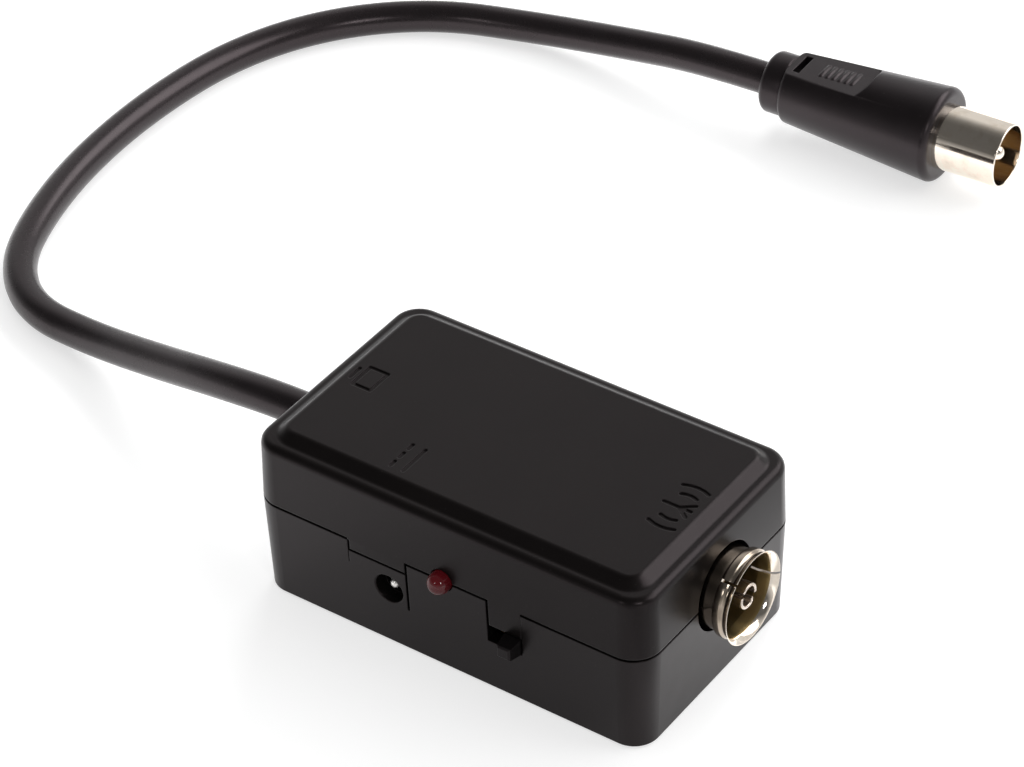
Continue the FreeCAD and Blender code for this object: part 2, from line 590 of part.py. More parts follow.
tip_edges = [edge for edge in knob.Edges if abs(edge.BoundBox.YMax - knob_tip) < 1e-6]
knob = knob.makeChamfer(KNOB_EDGE, tip_edges)
knob_root = box(knob_left, knob_right, FRONT_FACE, slider_front, knob_bottom, knob_top)
switch_slider = slider_plate.fuse(knob_root).fuse(knob).removeSplitter()

# The wiper is a strip bowed at both ends, set against the slider's back
wiper_half = SWITCH_PITCH / 2 + SWITCH_LEAD_WIDTH / 2
wiper_depth = 2 * WIPER_SHEET
wiper_path = [
    Vector(-wiper_half, 0, 0),
    Vector(-wiper_half + wiper_depth, 0, 0),
    Vector(-wiper_half / 3, -wiper_depth / 2, 0),
    Vector(wiper_half / 3, -wiper_depth / 2, 0),
    Vector(wiper_half - wiper_depth, 0, 0),
    Vector(wiper_half, 0, 0),
    Vector(wiper_half, -WIPER_SHEET, 0),
    Vector(wiper_half - wiper_depth, -WIPER_SHEET, 0),
    Vector(wiper_half / 3, -wiper_depth / 2 - WIPER_SHEET, 0),
    Vector(-wiper_half / 3, -wiper_depth / 2 - WIPER_SHEET, 0),
    Vector(-wiper_half + wiper_depth, -WIPER_SHEET, 0),
    Vector(-wiper_half, -WIPER_SHEET, 0),
]
switch_contact = Part.Face(Part.makePolygon(wiper_path + wiper_path[:1])).extrude(Vector(0, 0, WIPER_HEIGHT))
switch_contact.translate(Vector(KNOB_CENTRE, slider_back + wiper_depth, CAN_MIDDLE - WIPER_HEIGHT / 2))

base_front = slider_back + wiper_depth + CONTACT_GAP
switch_base = box(can_left + CAN_SHEET + MOULD_FIT, can_right - CAN_SHEET - MOULD_FIT,
                  base_front, CAN_BACK, can_bottom + CAN_SHEET + MOULD_FIT,
                  can_top - CAN_SHEET - MOULD_FIT)
switch_terminals = []
for step in (-1, 0, 1):
    lead_x = CAN_CENTRE + step * SWITCH_PITCH
    lead_left = lead_x - SWITCH_LEAD_WIDTH / 2
    lead_right = lead_x + SWITCH_LEAD_WIDTH / 2
    lead_z = CAN_MIDDLE - SWITCH_LEAD_SHEET / 2
    through = box(lead_left, lead_right, base_front, CAN_BACK + 3 * SWITCH_LEAD_SHEET,
                  lead_z, lead_z + SWITCH_LEAD_SHEET)
    down = box(lead_left, lead_right, CAN_BACK + 2 * SWITCH_LEAD_SHEET, CAN_BACK + 3 * SWITCH_LEAD_SHEET,
               LEG_END, lead_z + SWITCH_LEAD_SHEET)
    switch_terminals.append(through.fuse(down).removeSplitter())
    switch_base = switch_base.cut(through)

# Aerial socket shell: drawn sheet with a flared lip, a groove and a bead, slit along two sides
socket_axis = Vector(0, SOCKET_Y, SOCKET_Z)


def socket_wall(inward):
    """The shell's turned outer surface, or the same line moved inwards by the sheet's thickness."""
    barrel = SOCKET_BARREL_RADIUS - inward
    bead = SOCKET_BEAD_RADIUS - inward
    groove = SOCKET_GROOVE_RADIUS - inward
    lip_edge = SOCKET_LIP_RADIUS - inward

    def at(x, radius):
        return Vector(x, SOCKET_Y, SOCKET_Z + radius)

    profile = [
        at(SOCKET_BACK, barrel),
        at(SOCKET_MOUTH - SOCKET_BEAD_START, barrel),
        at(SOCKET_MOUTH - SOCKET_BEAD_BACK - SOCKET_BEAD_FLAT / 2, bead),
        at(SOCKET_MOUTH - SOCKET_BEAD_BACK + SOCKET_BEAD_FLAT / 2, bead),
        at(SOCKET_MOUTH - SOCKET_GROOVE_BACK, groove),
        at(SOCKET_MOUTH - SOCKET_LIP_LENGTH, lip_edge - SOCKET_LIP_ROUNDING),
        at(SOCKET_MOUTH, lip_edge),
    ]
    return profile


socket_shell = revolved(socket_wall(0) + socket_wall(SOCKET_SHEET)[::-1], socket_axis, X)
slit = box(SOCKET_MOUTH - SOCKET_SLIT_LENGTH, SOCKET_MOUTH + WALL, -SOCKET_LIP_RADIUS - WALL,
           SOCKET_LIP_RADIUS + WALL, -SOCKET_SLIT / 2, SOCKET_SLIT / 2)
slit.rotate(Vector(0, 0, 0), X, SOCKET_SLIT_ANGLE)
slit.translate(socket_axis)
socket_shell = socket_shell.cut(slit)

# The shell's two tabs run down through the board
for tab_x in (SOCKET_BACK, SOCKET_BACK + 2 * SOCKET_TAB_WIDTH):
    tab = box(tab_x, tab_x + SOCKET_TAB_WIDTH / 2, SOCKET_Y - SOCKET_TAB_WIDTH / 2,
              SOCKET_Y + SOCKET_TAB_WIDTH / 2, LEG_END, SOCKET_Z)
    tab = tab.cut(rod(SOCKET_BARREL_RADIUS - SOCKET_SHEET / 2, Vector(0, SOCKET_Y, SOCKET_Z), X, LENGTH))
    socket_shell = socket_shell.fuse(tab)
socket_shell = socket_shell.removeSplitter()

# Centre contact: a split tube of two rolled leaves, the lower one curled in at its end
centre_mid = CENTRE_RADIUS - CENTRE_SHEET / 2
centre_mouth = SOCKET_MOUTH - CENTRE_SETBACK
insulator_front = SOCKET_BACK + INSULATOR_THICKNESS
leaf_root = centre_mouth - CENTRE_LEAF_LENGTH


def ring_point(radius, angle, x=0.0):
    turn = math.radians(angle)
    return Vector(x, SOCKET_Y + radius * math.cos(turn), SOCKET_Z + radius * math.sin(turn))


def leaf_section(first, last, x):
    """A band of the contact's round section, between two angles."""
    half_angle = (first + last) / 2
    outside = Part.Arc(ring_point(CENTRE_RADIUS, first, x), ring_point(CENTRE_RADIUS, half_angle, x),
                       ring_point(CENTRE_RADIUS, last, x)).toShape()
    inner_radius = CENTRE_RADIUS - CENTRE_SHEET
    inside = Part.Arc(ring_point(inner_radius, last, x), ring_point(inner_radius, half_angle, x),
                      ring_point(inner_radius, first, x)).toShape()
    sides = [
        Part.makeLine(ring_point(CENTRE_RADIUS, last, x), ring_point(inner_radius, last, x)),
        Part.makeLine(ring_point(inner_radius, first, x), ring_point(CENTRE_RADIUS, first, x)),
    ]
    return Part.Face(Part.Wire([outside, sides[0], inside, sides[1]]))


upper_leaf = leaf_section(-50, 132, leaf_root).extrude(Vector(CENTRE_LEAF_LENGTH, 0, 0))
lower_leaf = leaf_section(150, 282, leaf_root).extrude(Vector(CENTRE_LEAF_LENGTH, 0, 0))
curl_out = CENTRE_CURL_RADIUS + CENTRE_SHEET / 2
curl_in = CENTRE_CURL_RADIUS - CENTRE_SHEET / 2
curl_centre = ring_point(centre_mid - CENTRE_CURL_RADIUS, 282, leaf_root)


def curl_point(radius, angle):
    turn = math.radians(angle)
    return curl_centre + Vector(0, radius * math.cos(turn), radius * math.sin(turn))


curl_section = Part.Face(Part.Wire([
    Part.Arc(curl_point(curl_out, 282), curl_point(curl_out, 367), curl_point(curl_out, 452)).toShape(),
    Part.makeLine(curl_point(curl_out, 452), curl_point(curl_in, 452)),
    Part.Arc(curl_point(curl_in, 452), curl_point(curl_in, 367), curl_point(curl_in, 282)).toShape(),
    Part.makeLine(curl_point(curl_in, 282), curl_point(curl_out, 282)),
]))
curl = curl_section.extrude(Vector(CENTRE_LEAF_LENGTH, 0, 0))
contact_back = SOCKET_BACK - 2 * CENTRE_SHEET
root_tube = rod(CENTRE_RADIUS, Vector(contact_back, SOCKET_Y, SOCKET_Z), X, leaf_root - contact_back)
root_tube = root_tube.cut(rod(CENTRE_RADIUS - CENTRE_SHEET,
                              Vector(SOCKET_BACK + CENTRE_SHEET, SOCKET_Y, SOCKET_Z), X, LENGTH))
contact_tail = box(contact_back, contact_back + CENTRE_SHEET, SOCKET_Y - 2 * CENTRE_SHEET,
                   SOCKET_Y + 2 * CENTRE_SHEET, LEG_END, SOCKET_Z)
socket_centre_contact = root_tube.fuse(upper_leaf).fuse(lower_leaf).fuse(curl).fuse(contact_tail)
socket_centre_contact = socket_centre_contact.removeSplitter()

# Insulator: a disc with a raised hub, held in the back of the shell
socket_insulator = rod(SOCKET_BARREL_RADIUS - SOCKET_SHEET - MOULD_FIT,
                       Vector(SOCKET_BACK, SOCKET_Y, SOCKET_Z), X, INSULATOR_THICKNESS)
socket_insulator = socket_insulator.fuse(rod(INSULATOR_HUB_RADIUS, Vector(insulator_front, SOCKET_Y, SOCKET_Z),
                                             X, INSULATOR_HUB_LENGTH))
socket_insulator = socket_insulator.cut(rod(CENTRE_RADIUS + MOULD_FIT,
                                            Vector(SOCKET_BACK - WALL, SOCKET_Y, SOCKET_Z), X, LENGTH))
socket_insulator = socket_insulator.removeSplitter()

# Lead inside the box: jacket through the wall, then braid, dielectric and core
lead_z = PARTING_HEIGHT


def sleeve_of_lead(outer, inner, length):
    start = Vector(LEAD_START, 0, lead_z)
    tube = rod(outer, start, X, length)
    return tube.cut(rod(inner, start, X, length)) if inner > 0 else tube


lead_jacket_end = sleeve_of_lead(LEAD_RADIUS, JACKET_BORE, JACKET_END + LEAD_EXIT)
lead_braid = sleeve_of_lead(JACKET_BORE - COAX_GAP, BRAID_BORE, BRAID_END + LEAD_EXIT)
lead_dielectric = sleeve_of_lead(BRAID_BORE - COAX_GAP, CORE_RADIUS + COAX_GAP, DIELECTRIC_END + LEAD_EXIT)
tail_x = LEAD_START + LEAD_EXIT + BRAID_END - BRAID_TAIL_RADIUS
tail_top = lead_z - BRAID_BORE - COAX_GAP
lead_braid = lead_braid.fuse(rod(BRAID_TAIL_RADIUS, Vector(tail_x, 0, tail_top), -Z, tail_top - LEG_END))
core_turn = -HALF_LENGTH + CORE_END - CORE_BEND
bend_far = core_turn + CORE_BEND
bend_low = lead_z - CORE_BEND
core_path = Part.makePolygon([
    Vector(LEAD_START, 0, lead_z),
    Vector(core_turn, 0, lead_z),
    Vector(bend_far, 0, bend_low),
    Vector(bend_far, 0, LEG_END),
])
core_circle = Part.Wire([Part.makeCircle(CORE_RADIUS, Vector(LEAD_START, 0, lead_z), X)])
lead_core = core_path.makePipeShell([core_circle], True, False, 1)

# Tie drawn round the jacket just inside the wall
tie_x = -HALF_LENGTH + WALL + SEAM
lead_tie = rod(LEAD_RADIUS + COAX_GAP + TIE_THICKNESS, Vector(tie_x, 0, lead_z), X, TIE_WIDTH)
lead_tie = lead_tie.fuse(box(tie_x, tie_x + TIE_WIDTH, 0, LEAD_RADIUS + TIE_HEAD,
                             lead_z - TIE_HEAD / 2, lead_z + TIE_HEAD / 2))
lead_tie = lead_tie.cut(rod(LEAD_RADIUS + COAX_GAP, Vector(tie_x - WALL, 0, lead_z), X, TIE_WIDTH + 2 * WALL))
lead_tie = lead_tie.removeSplitter()

# Circuit board, with a hole for each peg and each leg that passes through it
board_inset = lower_inset(BOARD_BOTTOM) + WALL + BOARD_MARGIN
circuit_board = drafted_block(BOARD_BOTTOM, board_inset, BOARD_TOP, board_inset, BOARD_CORNER + board_inset)
for px, py in peg_centres:
    circuit_board = circuit_board.cut(rod(PEG_RADIUS + PEG_CLEARANCE, Vector(px, py, 0), Z, PARTING_HEIGHT))


def leg_hole(shape):
    """A rectangular hole round what a piece puts through the board."""
    through = shape.common(box(-HALF_LENGTH, HALF_LENGTH, -HALF_WIDTH, HALF_WIDTH,
                               BOARD_BOTTOM, BOARD_BOTTOM + BOARD_THICKNESS / 2))
    holes = []
    for solid in through.Solids:
        bounds = solid.BoundBox
        holes.append(box(bounds.XMin - LEG_CLEARANCE, bounds.XMax + LEG_CLEARANCE,
                         bounds.YMin - LEG_CLEARANCE, bounds.YMax + LEG_CLEARANCE,
                         BOARD_BOTTOM - WALL, BOARD_TOP + WALL))
    return holes


through_board = [jack_pin, socket_shell, socket_centre_contact, switch_can, lead_braid, lead_core]
through_board = through_board + jack_tails + lamp_legs + switch_terminals
for piece in through_board:
    for hole in leg_hole(piece):
        circuit_board = circuit_board.cut(hole)

# Small parts on the board


def chip(x, y, height):
    return box(x - CHIP_LENGTH / 2, x + CHIP_LENGTH / 2, y - CHIP_WIDTH / 2, y + CHIP_WIDTH / 2,
               BOARD_TOP, BOARD_TOP + height)


chip_resistors = [chip(x, y, RESISTOR_THICKNESS) for x, y in CHIP_RESISTORS]
ceramic_capacitors = [chip(x, y, CAPACITOR_THICKNESS) for x, y in CHIP_CAPACITORS]

foot = TRANSISTOR_HEIGHT / 4
amplifier_transistor = box(TRANSISTOR_X - TRANSISTOR_LENGTH / 2, TRANSISTOR_X + TRANSISTOR_LENGTH / 2,
                           TRANSISTOR_Y - TRANSISTOR_WIDTH / 2, TRANSISTOR_Y + TRANSISTOR_WIDTH / 2,
                           BOARD_TOP + foot / 2, BOARD_TOP + TRANSISTOR_HEIGHT)
for lead_x, side in ((-1, -1), (1, -1), (-1, 1), (1, 1)):
    centre = TRANSISTOR_X + lead_x * TRANSISTOR_LENGTH / 3
    y_out = TRANSISTOR_Y + side * TRANSISTOR_SPAN / 2
    y_in = TRANSISTOR_Y
    amplifier_transistor = amplifier_transistor.fuse(box(centre - foot, centre + foot, min(y_out, y_in),
                                                         max(y_out, y_in), BOARD_TOP, BOARD_TOP + foot))
amplifier_transistor = amplifier_transistor.removeSplitter()

voltage_regulator = box(REGULATOR_X - REGULATOR_LENGTH / 2, REGULATOR_X + REGULATOR_LENGTH / 2,
                        REGULATOR_Y - REGULATOR_WIDTH / 2, REGULATOR_Y + REGULATOR_WIDTH / 2,
                        BOARD_TOP, BOARD_TOP + REGULATOR_HEIGHT)
tab_length = REGULATOR_LENGTH / 4
voltage_regulator = voltage_regulator.fuse(box(
    REGULATOR_X - tab_length, REGULATOR_X + tab_length, REGULATOR_Y - REGULATOR_WIDTH,
    REGULATOR_Y, BOARD_TOP, BOARD_TOP + foot)).removeSplitter()

groove_z = BOARD_TOP + ELECTROLYTIC_HEIGHT / 6
electrolytic_top = BOARD_TOP + ELECTROLYTIC_HEIGHT
electrolytic_profile = [
    (0, BOARD_TOP),
    (ELECTROLYTIC_RADIUS, BOARD_TOP),
    (ELECTROLYTIC_RADIUS, groove_z - ELECTROLYTIC_GROOVE),
    (ELECTROLYTIC_RADIUS - ELECTROLYTIC_GROOVE, groove_z),
    (ELECTROLYTIC_RADIUS, groove_z + ELECTROLYTIC_GROOVE),
    (ELECTROLYTIC_RADIUS, electrolytic_top),
    (0, electrolytic_top),
]
electrolytic_points = [Vector(ELECTROLYTIC_X + r, ELECTROLYTIC_Y, z) for r, z in electrolytic_profile]
electrolytic = revolved(electrolytic_points, Vector(ELECTROLYTIC_X, ELECTROLYTIC_Y, 0), Z)

ferrite_transformer = box(FERRITE_X - FERRITE_LENGTH / 2, FERRITE_X + FERRITE_LENGTH / 2,
                          FERRITE_Y - FERRITE_WIDTH / 2, FERRITE_Y + FERRITE_WIDTH / 2,
                          BOARD_TOP, BOARD_TOP + FERRITE_HEIGHT)
upright = [edge for edge in ferrite_transformer.Edges if edge.BoundBox.YLength > FERRITE_WIDTH / 2]
ferrite_transformer = ferrite_transformer.makeFillet(FERRITE_HEIGHT / 3, upright)
for side in (-1, 1):
    ferrite_transformer = ferrite_transformer.cut(rod(
        FERRITE_HOLE, Vector(FERRITE_X + side * FERRITE_LENGTH / 4, FERRITE_Y - FERRITE_WIDTH,
                             BOARD_TOP + FERRITE_HEIGHT / 2), Y, 2 * FERRITE_WIDTH))

# Drum choke: a ferrite drum whose waist, full of wire, stands a little inside its flanges
choke_profile = [
    (0, BOARD_TOP),
    (CHOKE_RADIUS, BOARD_TOP),
    (CHOKE_RADIUS, BOARD_TOP + CHOKE_FLANGE),
    (CHOKE_WAIST, BOARD_TOP + CHOKE_FLANGE),
    (CHOKE_WAIST, BOARD_TOP + CHOKE_HEIGHT - CHOKE_FLANGE),
    (CHOKE_RADIUS, BOARD_TOP + CHOKE_HEIGHT - CHOKE_FLANGE),
    (CHOKE_RADIUS, BOARD_TOP + CHOKE_HEIGHT),
    (0, BOARD_TOP + CHOKE_HEIGHT),
]
drum_choke = revolved([Vector(CHOKE_X + r, CHOKE_Y, z) for r, z in choke_profile],
                      Vector(CHOKE_X, CHOKE_Y, 0), Z)

# Free lead: straight runs joined by tangent arcs
heading = Vector(math.cos(math.radians(PLUG_HEADING)), math.sin(math.radians(PLUG_HEADING)), 0)
plug_start = Vector(PLUG_X, PLUG_Y, PLUG_Z)
route = [Vector(LEAD_START, 0, lead_z), Vector(LEAD_START - LEAD_FIRST_RUN, 0, lead_z)]
route = route + [Vector(*point) for point in LEAD_ROUTE]
route = route + [plug_start - heading * LEAD_LAST_RUN, plug_start]
lead_edges = []
lead_length = 0.0
cursor = route[0]
for index in range(1, len(route) - 1):
    before = route[index] - route[index - 1]
    after = route[index + 1] - route[index]
    turn = before.getAngle(after)
    radius = 0.45 * min(before.Length, after.Length) / math.tan(turn / 2)
    cut_back = radius * math.tan(turn / 2)
    arc_start = route[index] - before.normalize() * cut_back
    arc_end = route[index] + after.normalize() * cut_back
    bisector = (after - before).normalize()
    centre = route[index] + bisector * (radius / math.cos(turn / 2))
    arc_middle = centre - bisector * radius
    lead_edges.append(Part.LineSegment(cursor, arc_start).toShape())
    lead_edges.append(Part.Arc(arc_start, arc_middle, arc_end).toShape())
    lead_length = lead_length + (arc_start - cursor).Length + radius * turn
    print("bend %2d turn %5.1f radius %6.1f" % (index, math.degrees(turn), radius))
    cursor = arc_end
lead_edges.append(Part.LineSegment(cursor, route[-1]).toShape())
lead_length = lead_length + (route[-1] - cursor).Length
lead_path = Part.Wire(lead_edges)
lead_circle = Part.Wire([Part.makeCircle(LEAD_RADIUS, route[0], (route[1] - route[0]))])
output_lead = lead_path.makePipeShell([lead_circle], True, False)
section = math.pi * LEAD_RADIUS ** 2
print("lead length %.1f volume ratio %.4f" % (lead_length, output_lead.Volume / (section * lead_length)))

# Plug body: moulded collar, a soft step and the tapered grip
body_profile = [
    (0, 0),
    (0, COLLAR_RADIUS - COLLAR_EDGE),
    (COLLAR_EDGE, COLLAR_RADIUS),
    (COLLAR_LENGTH, COLLAR_RADIUS),
    (COLLAR_LENGTH, BODY_REAR_RADIUS - BODY_EDGE),
    (COLLAR_LENGTH + BODY_EDGE, BODY_REAR_RADIUS),
    (BODY_END - BODY_EDGE, BODY_FRONT_RADIUS),
    (BODY_END, BODY_FRONT_RADIUS - BODY_EDGE),
    (BODY_END, 0),
]
plug_body = revolved([Vector(s, 0, r) for s, r in body_profile], Vector(0, 0, 0), X)

# Flat pad on top, with a cross slot behind it and plain grip ribs
pad_start = COLLAR_LENGTH
pad_end = pad_start + PAD_LENGTH
pad_side = Part.makePolygon([
    Vector(pad_start - WALL, 0, PAD_REAR_HEIGHT - (PAD_FRONT_HEIGHT - PAD_REAR_HEIGHT) * WALL / PAD_LENGTH),
    Vector(pad_end, 0, PAD_FRONT_HEIGHT),
    Vector(pad_end, 0, 2 * BODY_FRONT_RADIUS),
    Vector(pad_start - WALL, 0, 2 * BODY_FRONT_RADIUS),
    Vector(pad_start - WALL, 0, PAD_REAR_HEIGHT - (PAD_FRONT_HEIGHT - PAD_REAR_HEIGHT) * WALL / PAD_LENGTH),
])
pad_cut = Part.Face(pad_side).extrude(Vector(0, 2 * BODY_FRONT_RADIUS, 0))
pad_cut.translate(Vector(0, -BODY_FRONT_RADIUS, 0))
pad_half = math.sqrt(BODY_FRONT_RADIUS ** 2 - PAD_FRONT_HEIGHT ** 2)
pad_limit = box(pad_start, pad_end, -pad_half, pad_half, 0, 2 * BODY_FRONT_RADIUS)
limit_edges = [edge for edge in pad_limit.Edges
               if edge.BoundBox.ZLength > BODY_FRONT_RADIUS and abs(edge.BoundBox.XMin - pad_end) < 1e-6]
pad_limit = pad_limit.makeFillet(PAD_CORNER, limit_edges)
plug_body = plug_body.cut(pad_cut.common(pad_limit))
slot_start = pad_start + PAD_SLOT_BACK
pad_slot = box(slot_start, slot_start + PAD_SLOT_LENGTH, -PAD_SLOT_WIDTH / 2, PAD_SLOT_WIDTH / 2,
               PAD_REAR_HEIGHT - PAD_SLOT_DEPTH, BODY_FRONT_RADIUS)
plug_body = plug_body.cut(pad_slot)
pad_slope = (PAD_FRONT_HEIGHT - PAD_REAR_HEIGHT) / PAD_LENGTH
for index in range(GRIP_RIBS):
    rib_start = pad_start + GRIP_RIB_START + index * GRIP_RIB_PITCH
    rib_height = PAD_REAR_HEIGHT + pad_slope * (rib_start - pad_start)
    rib = box(rib_start, rib_start + GRIP_RIB_THICKNESS, -GRIP_RIB_WIDTH / 2, GRIP_RIB_WIDTH / 2,
              rib_height - GRIP_RIB_THICKNESS, rib_height + GRIP_RIB_RISE)
    plug_body = plug_body.fuse(rib)

sleeve_start = BODY_END - SLEEVE_SEAT
sleeve_end = BODY_END + SLEEVE_STAND_OUT
plug_body = plug_body.cut(rod(SLEEVE_ROOT_RADIUS + MOULD_FIT, Vector(sleeve_start, 0, 0), X, REACH))
plug_body = plug_body.removeSplitter()

# Sleeve: a root held in the moulding, a shoulder just clear of it, and the edge drawn in at the tip
sleeve_bore = SLEEVE_RADIUS - SLEEVE_WALL
sleeve_edge = SLEEVE_WALL * 0.45
sleeve_profile = [
    (sleeve_start, sleeve_bore),
    (sleeve_start, SLEEVE_ROOT_RADIUS),
    (BODY_END + SLEEVE_NECK, SLEEVE_ROOT_RADIUS),
    (BODY_END + SLEEVE_NECK, SLEEVE_RADIUS),
    (sleeve_end - sleeve_edge, SLEEVE_RADIUS),
    (sleeve_end, SLEEVE_RADIUS - sleeve_edge),
    (sleeve_end, sleeve_bore),
]
plug_sleeve = revolved([Vector(s, 0, r) for s, r in sleeve_profile], Vector(0, 0, 0), X)

# Insulator and centre pin, with a rounded tip
plug_insulator = rod(sleeve_bore - MOULD_FIT, Vector(sleeve_start, 0, 0), X, PLUG_INSULATOR_LENGTH)
plug_insulator = plug_insulator.cut(rod(PLUG_PIN_RADIUS + MOULD_FIT, Vector(0, 0, 0), X, REACH))
plug_pin_tip = sleeve_end - PLUG_PIN_RECESS
plug_pin_start = sleeve_start + PLUG_PIN_ROOT
pin_turns = [math.radians(turn) for turn in (0, 40)]
pin_profile = [(plug_pin_start, 0), (plug_pin_start, PLUG_PIN_RADIUS)]
pin_profile = pin_profile + [(plug_pin_tip - PLUG_PIN_RADIUS * (1 - math.sin(turn)),
                              PLUG_PIN_RADIUS * math.cos(turn)) for turn in pin_turns]
pin_profile = pin_profile + [(plug_pin_tip, PLUG_PIN_RADIUS * PIN_FLAT), (plug_pin_tip, 0)]
plug_pin = revolved([Vector(s, 0, r) for s, r in pin_profile], Vector(0, 0, 0), X)

save("upper_shell", upper_shell)
save("lower_shell", lower_shell)
save("circuit_board", circuit_board)
save("socket_shell", socket_shell)
save("socket_insulator", socket_insulator)
save("socket_centre_contact", socket_centre_contact)
save("dc_jack_body", jack_body)
save("dc_jack_pin", jack_pin)
save("dc_jack_spring", jack_spring)
save("dc_jack_terminals", Part.makeCompound(jack_tails))
save("indicator_lamp", indicator_lamp)
save("lamp_legs", Part.makeCompound(lamp_legs))
save("switch_can", switch_can)
save("switch_base", switch_base)
save("switch_slider", switch_slider)
save("switch_contact", switch_contact)
save("switch_terminals", Part.makeCompound(switch_terminals))
save("output_lead", output_lead)
save("lead_jacket_end", lead_jacket_end)
save("lead_braid", lead_braid)
save("lead_dielectric", lead_dielectric)
save("lead_core", lead_core)
save("lead_tie", lead_tie)
save("plug_body", placed_on_plug(plug_body))
save("plug_sleeve", placed_on_plug(plug_sleeve))
save("plug_insulator", placed_on_plug(plug_insulator))
save("plug_pin", placed_on_plug(plug_pin))
save("amplifier_transistor", amplifier_transistor)
save("drum_choke", drum_choke)
save("ferrite_transformer", ferrite_transformer)
save("ceramic_capacitors", Part.makeCompound(ceramic_capacitors))
save("electrolytic_capacitor", electrolytic)
save("chip_resistors", Part.makeCompound(chip_resistors))
save("voltage_regulator", voltage_regulator)
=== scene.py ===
import json
import math
import bmesh
import bpy
from mathutils import Matrix, Vector


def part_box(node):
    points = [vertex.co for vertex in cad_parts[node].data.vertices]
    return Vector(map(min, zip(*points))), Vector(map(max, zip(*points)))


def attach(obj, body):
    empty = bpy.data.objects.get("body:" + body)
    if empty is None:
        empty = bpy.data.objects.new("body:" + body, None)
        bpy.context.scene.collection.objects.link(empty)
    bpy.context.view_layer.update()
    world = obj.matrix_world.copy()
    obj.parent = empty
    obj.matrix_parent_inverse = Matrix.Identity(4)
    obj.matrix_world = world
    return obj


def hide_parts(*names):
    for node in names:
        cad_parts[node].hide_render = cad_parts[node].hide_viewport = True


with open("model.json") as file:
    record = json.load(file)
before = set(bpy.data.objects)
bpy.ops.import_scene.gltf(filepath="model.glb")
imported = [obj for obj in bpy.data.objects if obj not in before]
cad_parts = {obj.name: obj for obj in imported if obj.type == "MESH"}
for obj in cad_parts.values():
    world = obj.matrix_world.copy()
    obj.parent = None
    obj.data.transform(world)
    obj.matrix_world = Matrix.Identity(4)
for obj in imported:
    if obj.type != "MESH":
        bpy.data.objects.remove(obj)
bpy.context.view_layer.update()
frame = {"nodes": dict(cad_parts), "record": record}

# In-line aerial amplifier: moulded black box, bright aerial socket, short lead and moulded plug.
# Metres, in the frame of the solids: origin under the middle of the box, +X to the socket, -Y to the
# side with the jack, the lamp and the switch, +Z up. The sizes of shapes are in millimetres.
MM = 0.001


# Camera

CAMERA_PLACE = (0.215424, -0.297594, 0.323215)
CAMERA_RIGHT = (0.820079, 0.571683, -0.0255)
CAMERA_UP = (-0.337951, 0.519788, 0.784608)
CAMERA_BACK = (0.461801, -0.634823, 0.619467)
LENS_LENGTH = 137.214


def set_camera():
    """The camera that fits the photograph, from the box's edges and the lead's line."""
    turn = Matrix((CAMERA_RIGHT, CAMERA_UP, CAMERA_BACK)).transposed().to_4x4()
    lens = bpy.data.cameras.new("camera")
    lens.sensor_width = 36.0
    lens.lens = LENS_LENGTH
    lens.clip_start = 0.01
    lens.clip_end = 50.0
    camera = bpy.data.objects.new("camera", lens)
    camera.matrix_world = Matrix.Translation(CAMERA_PLACE) @ turn
    bpy.context.scene.collection.objects.link(camera)
    bpy.context.scene.camera = camera


# Shader groups

SURFACE_OUTPUTS = [("Color", "Color"), ("Roughness", "Float"), ("Height", "Float")]
DUST_TONE = (0.16, 0.15, 0.14, 1)
EVEN_LINES = (1.0, 1.0, 1.0)
TURNED_LINES = (0.06, 1.0, 1.0)


def new_group(name, inputs, outputs):
    """A shader node group with named sockets; inputs and outputs are (name, kind, value) lists."""
    tree = bpy.data.node_groups.new(name, "ShaderNodeTree")
    for label, kind, value in inputs:
        socket = tree.interface.new_socket(name=label, in_out="INPUT", socket_type="NodeSocket" + kind)
        socket.default_value = value
    for label, kind in outputs:
        tree.interface.new_socket(name=label, in_out="OUTPUT", socket_type="NodeSocket" + kind)
    return tree, tree.nodes.new("NodeGroupInput"), tree.nodes.new("NodeGroupOutput")


def put(tree, kind, **values):
    """A node with its properties and its unlinked inputs set by name."""
    node = tree.nodes.new("ShaderNode" + kind)
    for key, value in values.items():
        if key.startswith("in_"):
            label = key.removeprefix("in_").replace("_", " ")
            node.inputs[label].default_value = value
        else:
            setattr(node, key, value)
    return node


def feed(tree, socket, value):
    """Gives an input its value: a link from another socket, or a constant."""
    if hasattr(value, "is_output"):
        tree.links.new(value, socket)
    else:
        socket.default_value = value


def noise_at(tree, point, scale, detail, rough=0.5):
    """Noise of one scale, read at a point."""
    noise = put(tree, "TexNoise", in_Detail=detail, in_Roughness=rough)
    noise.inputs["Scale"].default_value = scale
    tree.links.new(point, noise.inputs["Vector"])
    return noise.outputs["Fac"]


def spread(tree, value, low, high, to_low=0.0, to_high=1.0):
    """A value's stretch from low to high, mapped to another and held there."""
    node = put(tree, "MapRange")
    node.clamp = True
    for label, number in (("From Min", low), ("From Max", high), ("To Min", to_low), ("To Max", to_high)):
        feed(tree, node.inputs[label], number)
    tree.links.new(value, node.inputs["Value"])
    return node.outputs["Result"]


def maths(tree, operation, first, second):
    """One sum on two values, each a socket or a number."""
    node = put(tree, "Math", operation=operation)
    feed(tree, node.inputs[0], first)
    feed(tree, node.inputs[1], second)
    return node.outputs["Value"]


def blended(tree, factor, first, second):
    """A colour between two, each a socket or a colour."""
    node = put(tree, "Mix", data_type="RGBA")
    factor_socket, first_colour, second_colour, mixed_colour = 0, 6, 7, 2
    feed(tree, node.inputs[factor_socket], factor)
    feed(tree, node.inputs[first_colour], first)
    feed(tree, node.inputs[second_colour], second)
    return node.outputs[mixed_colour]


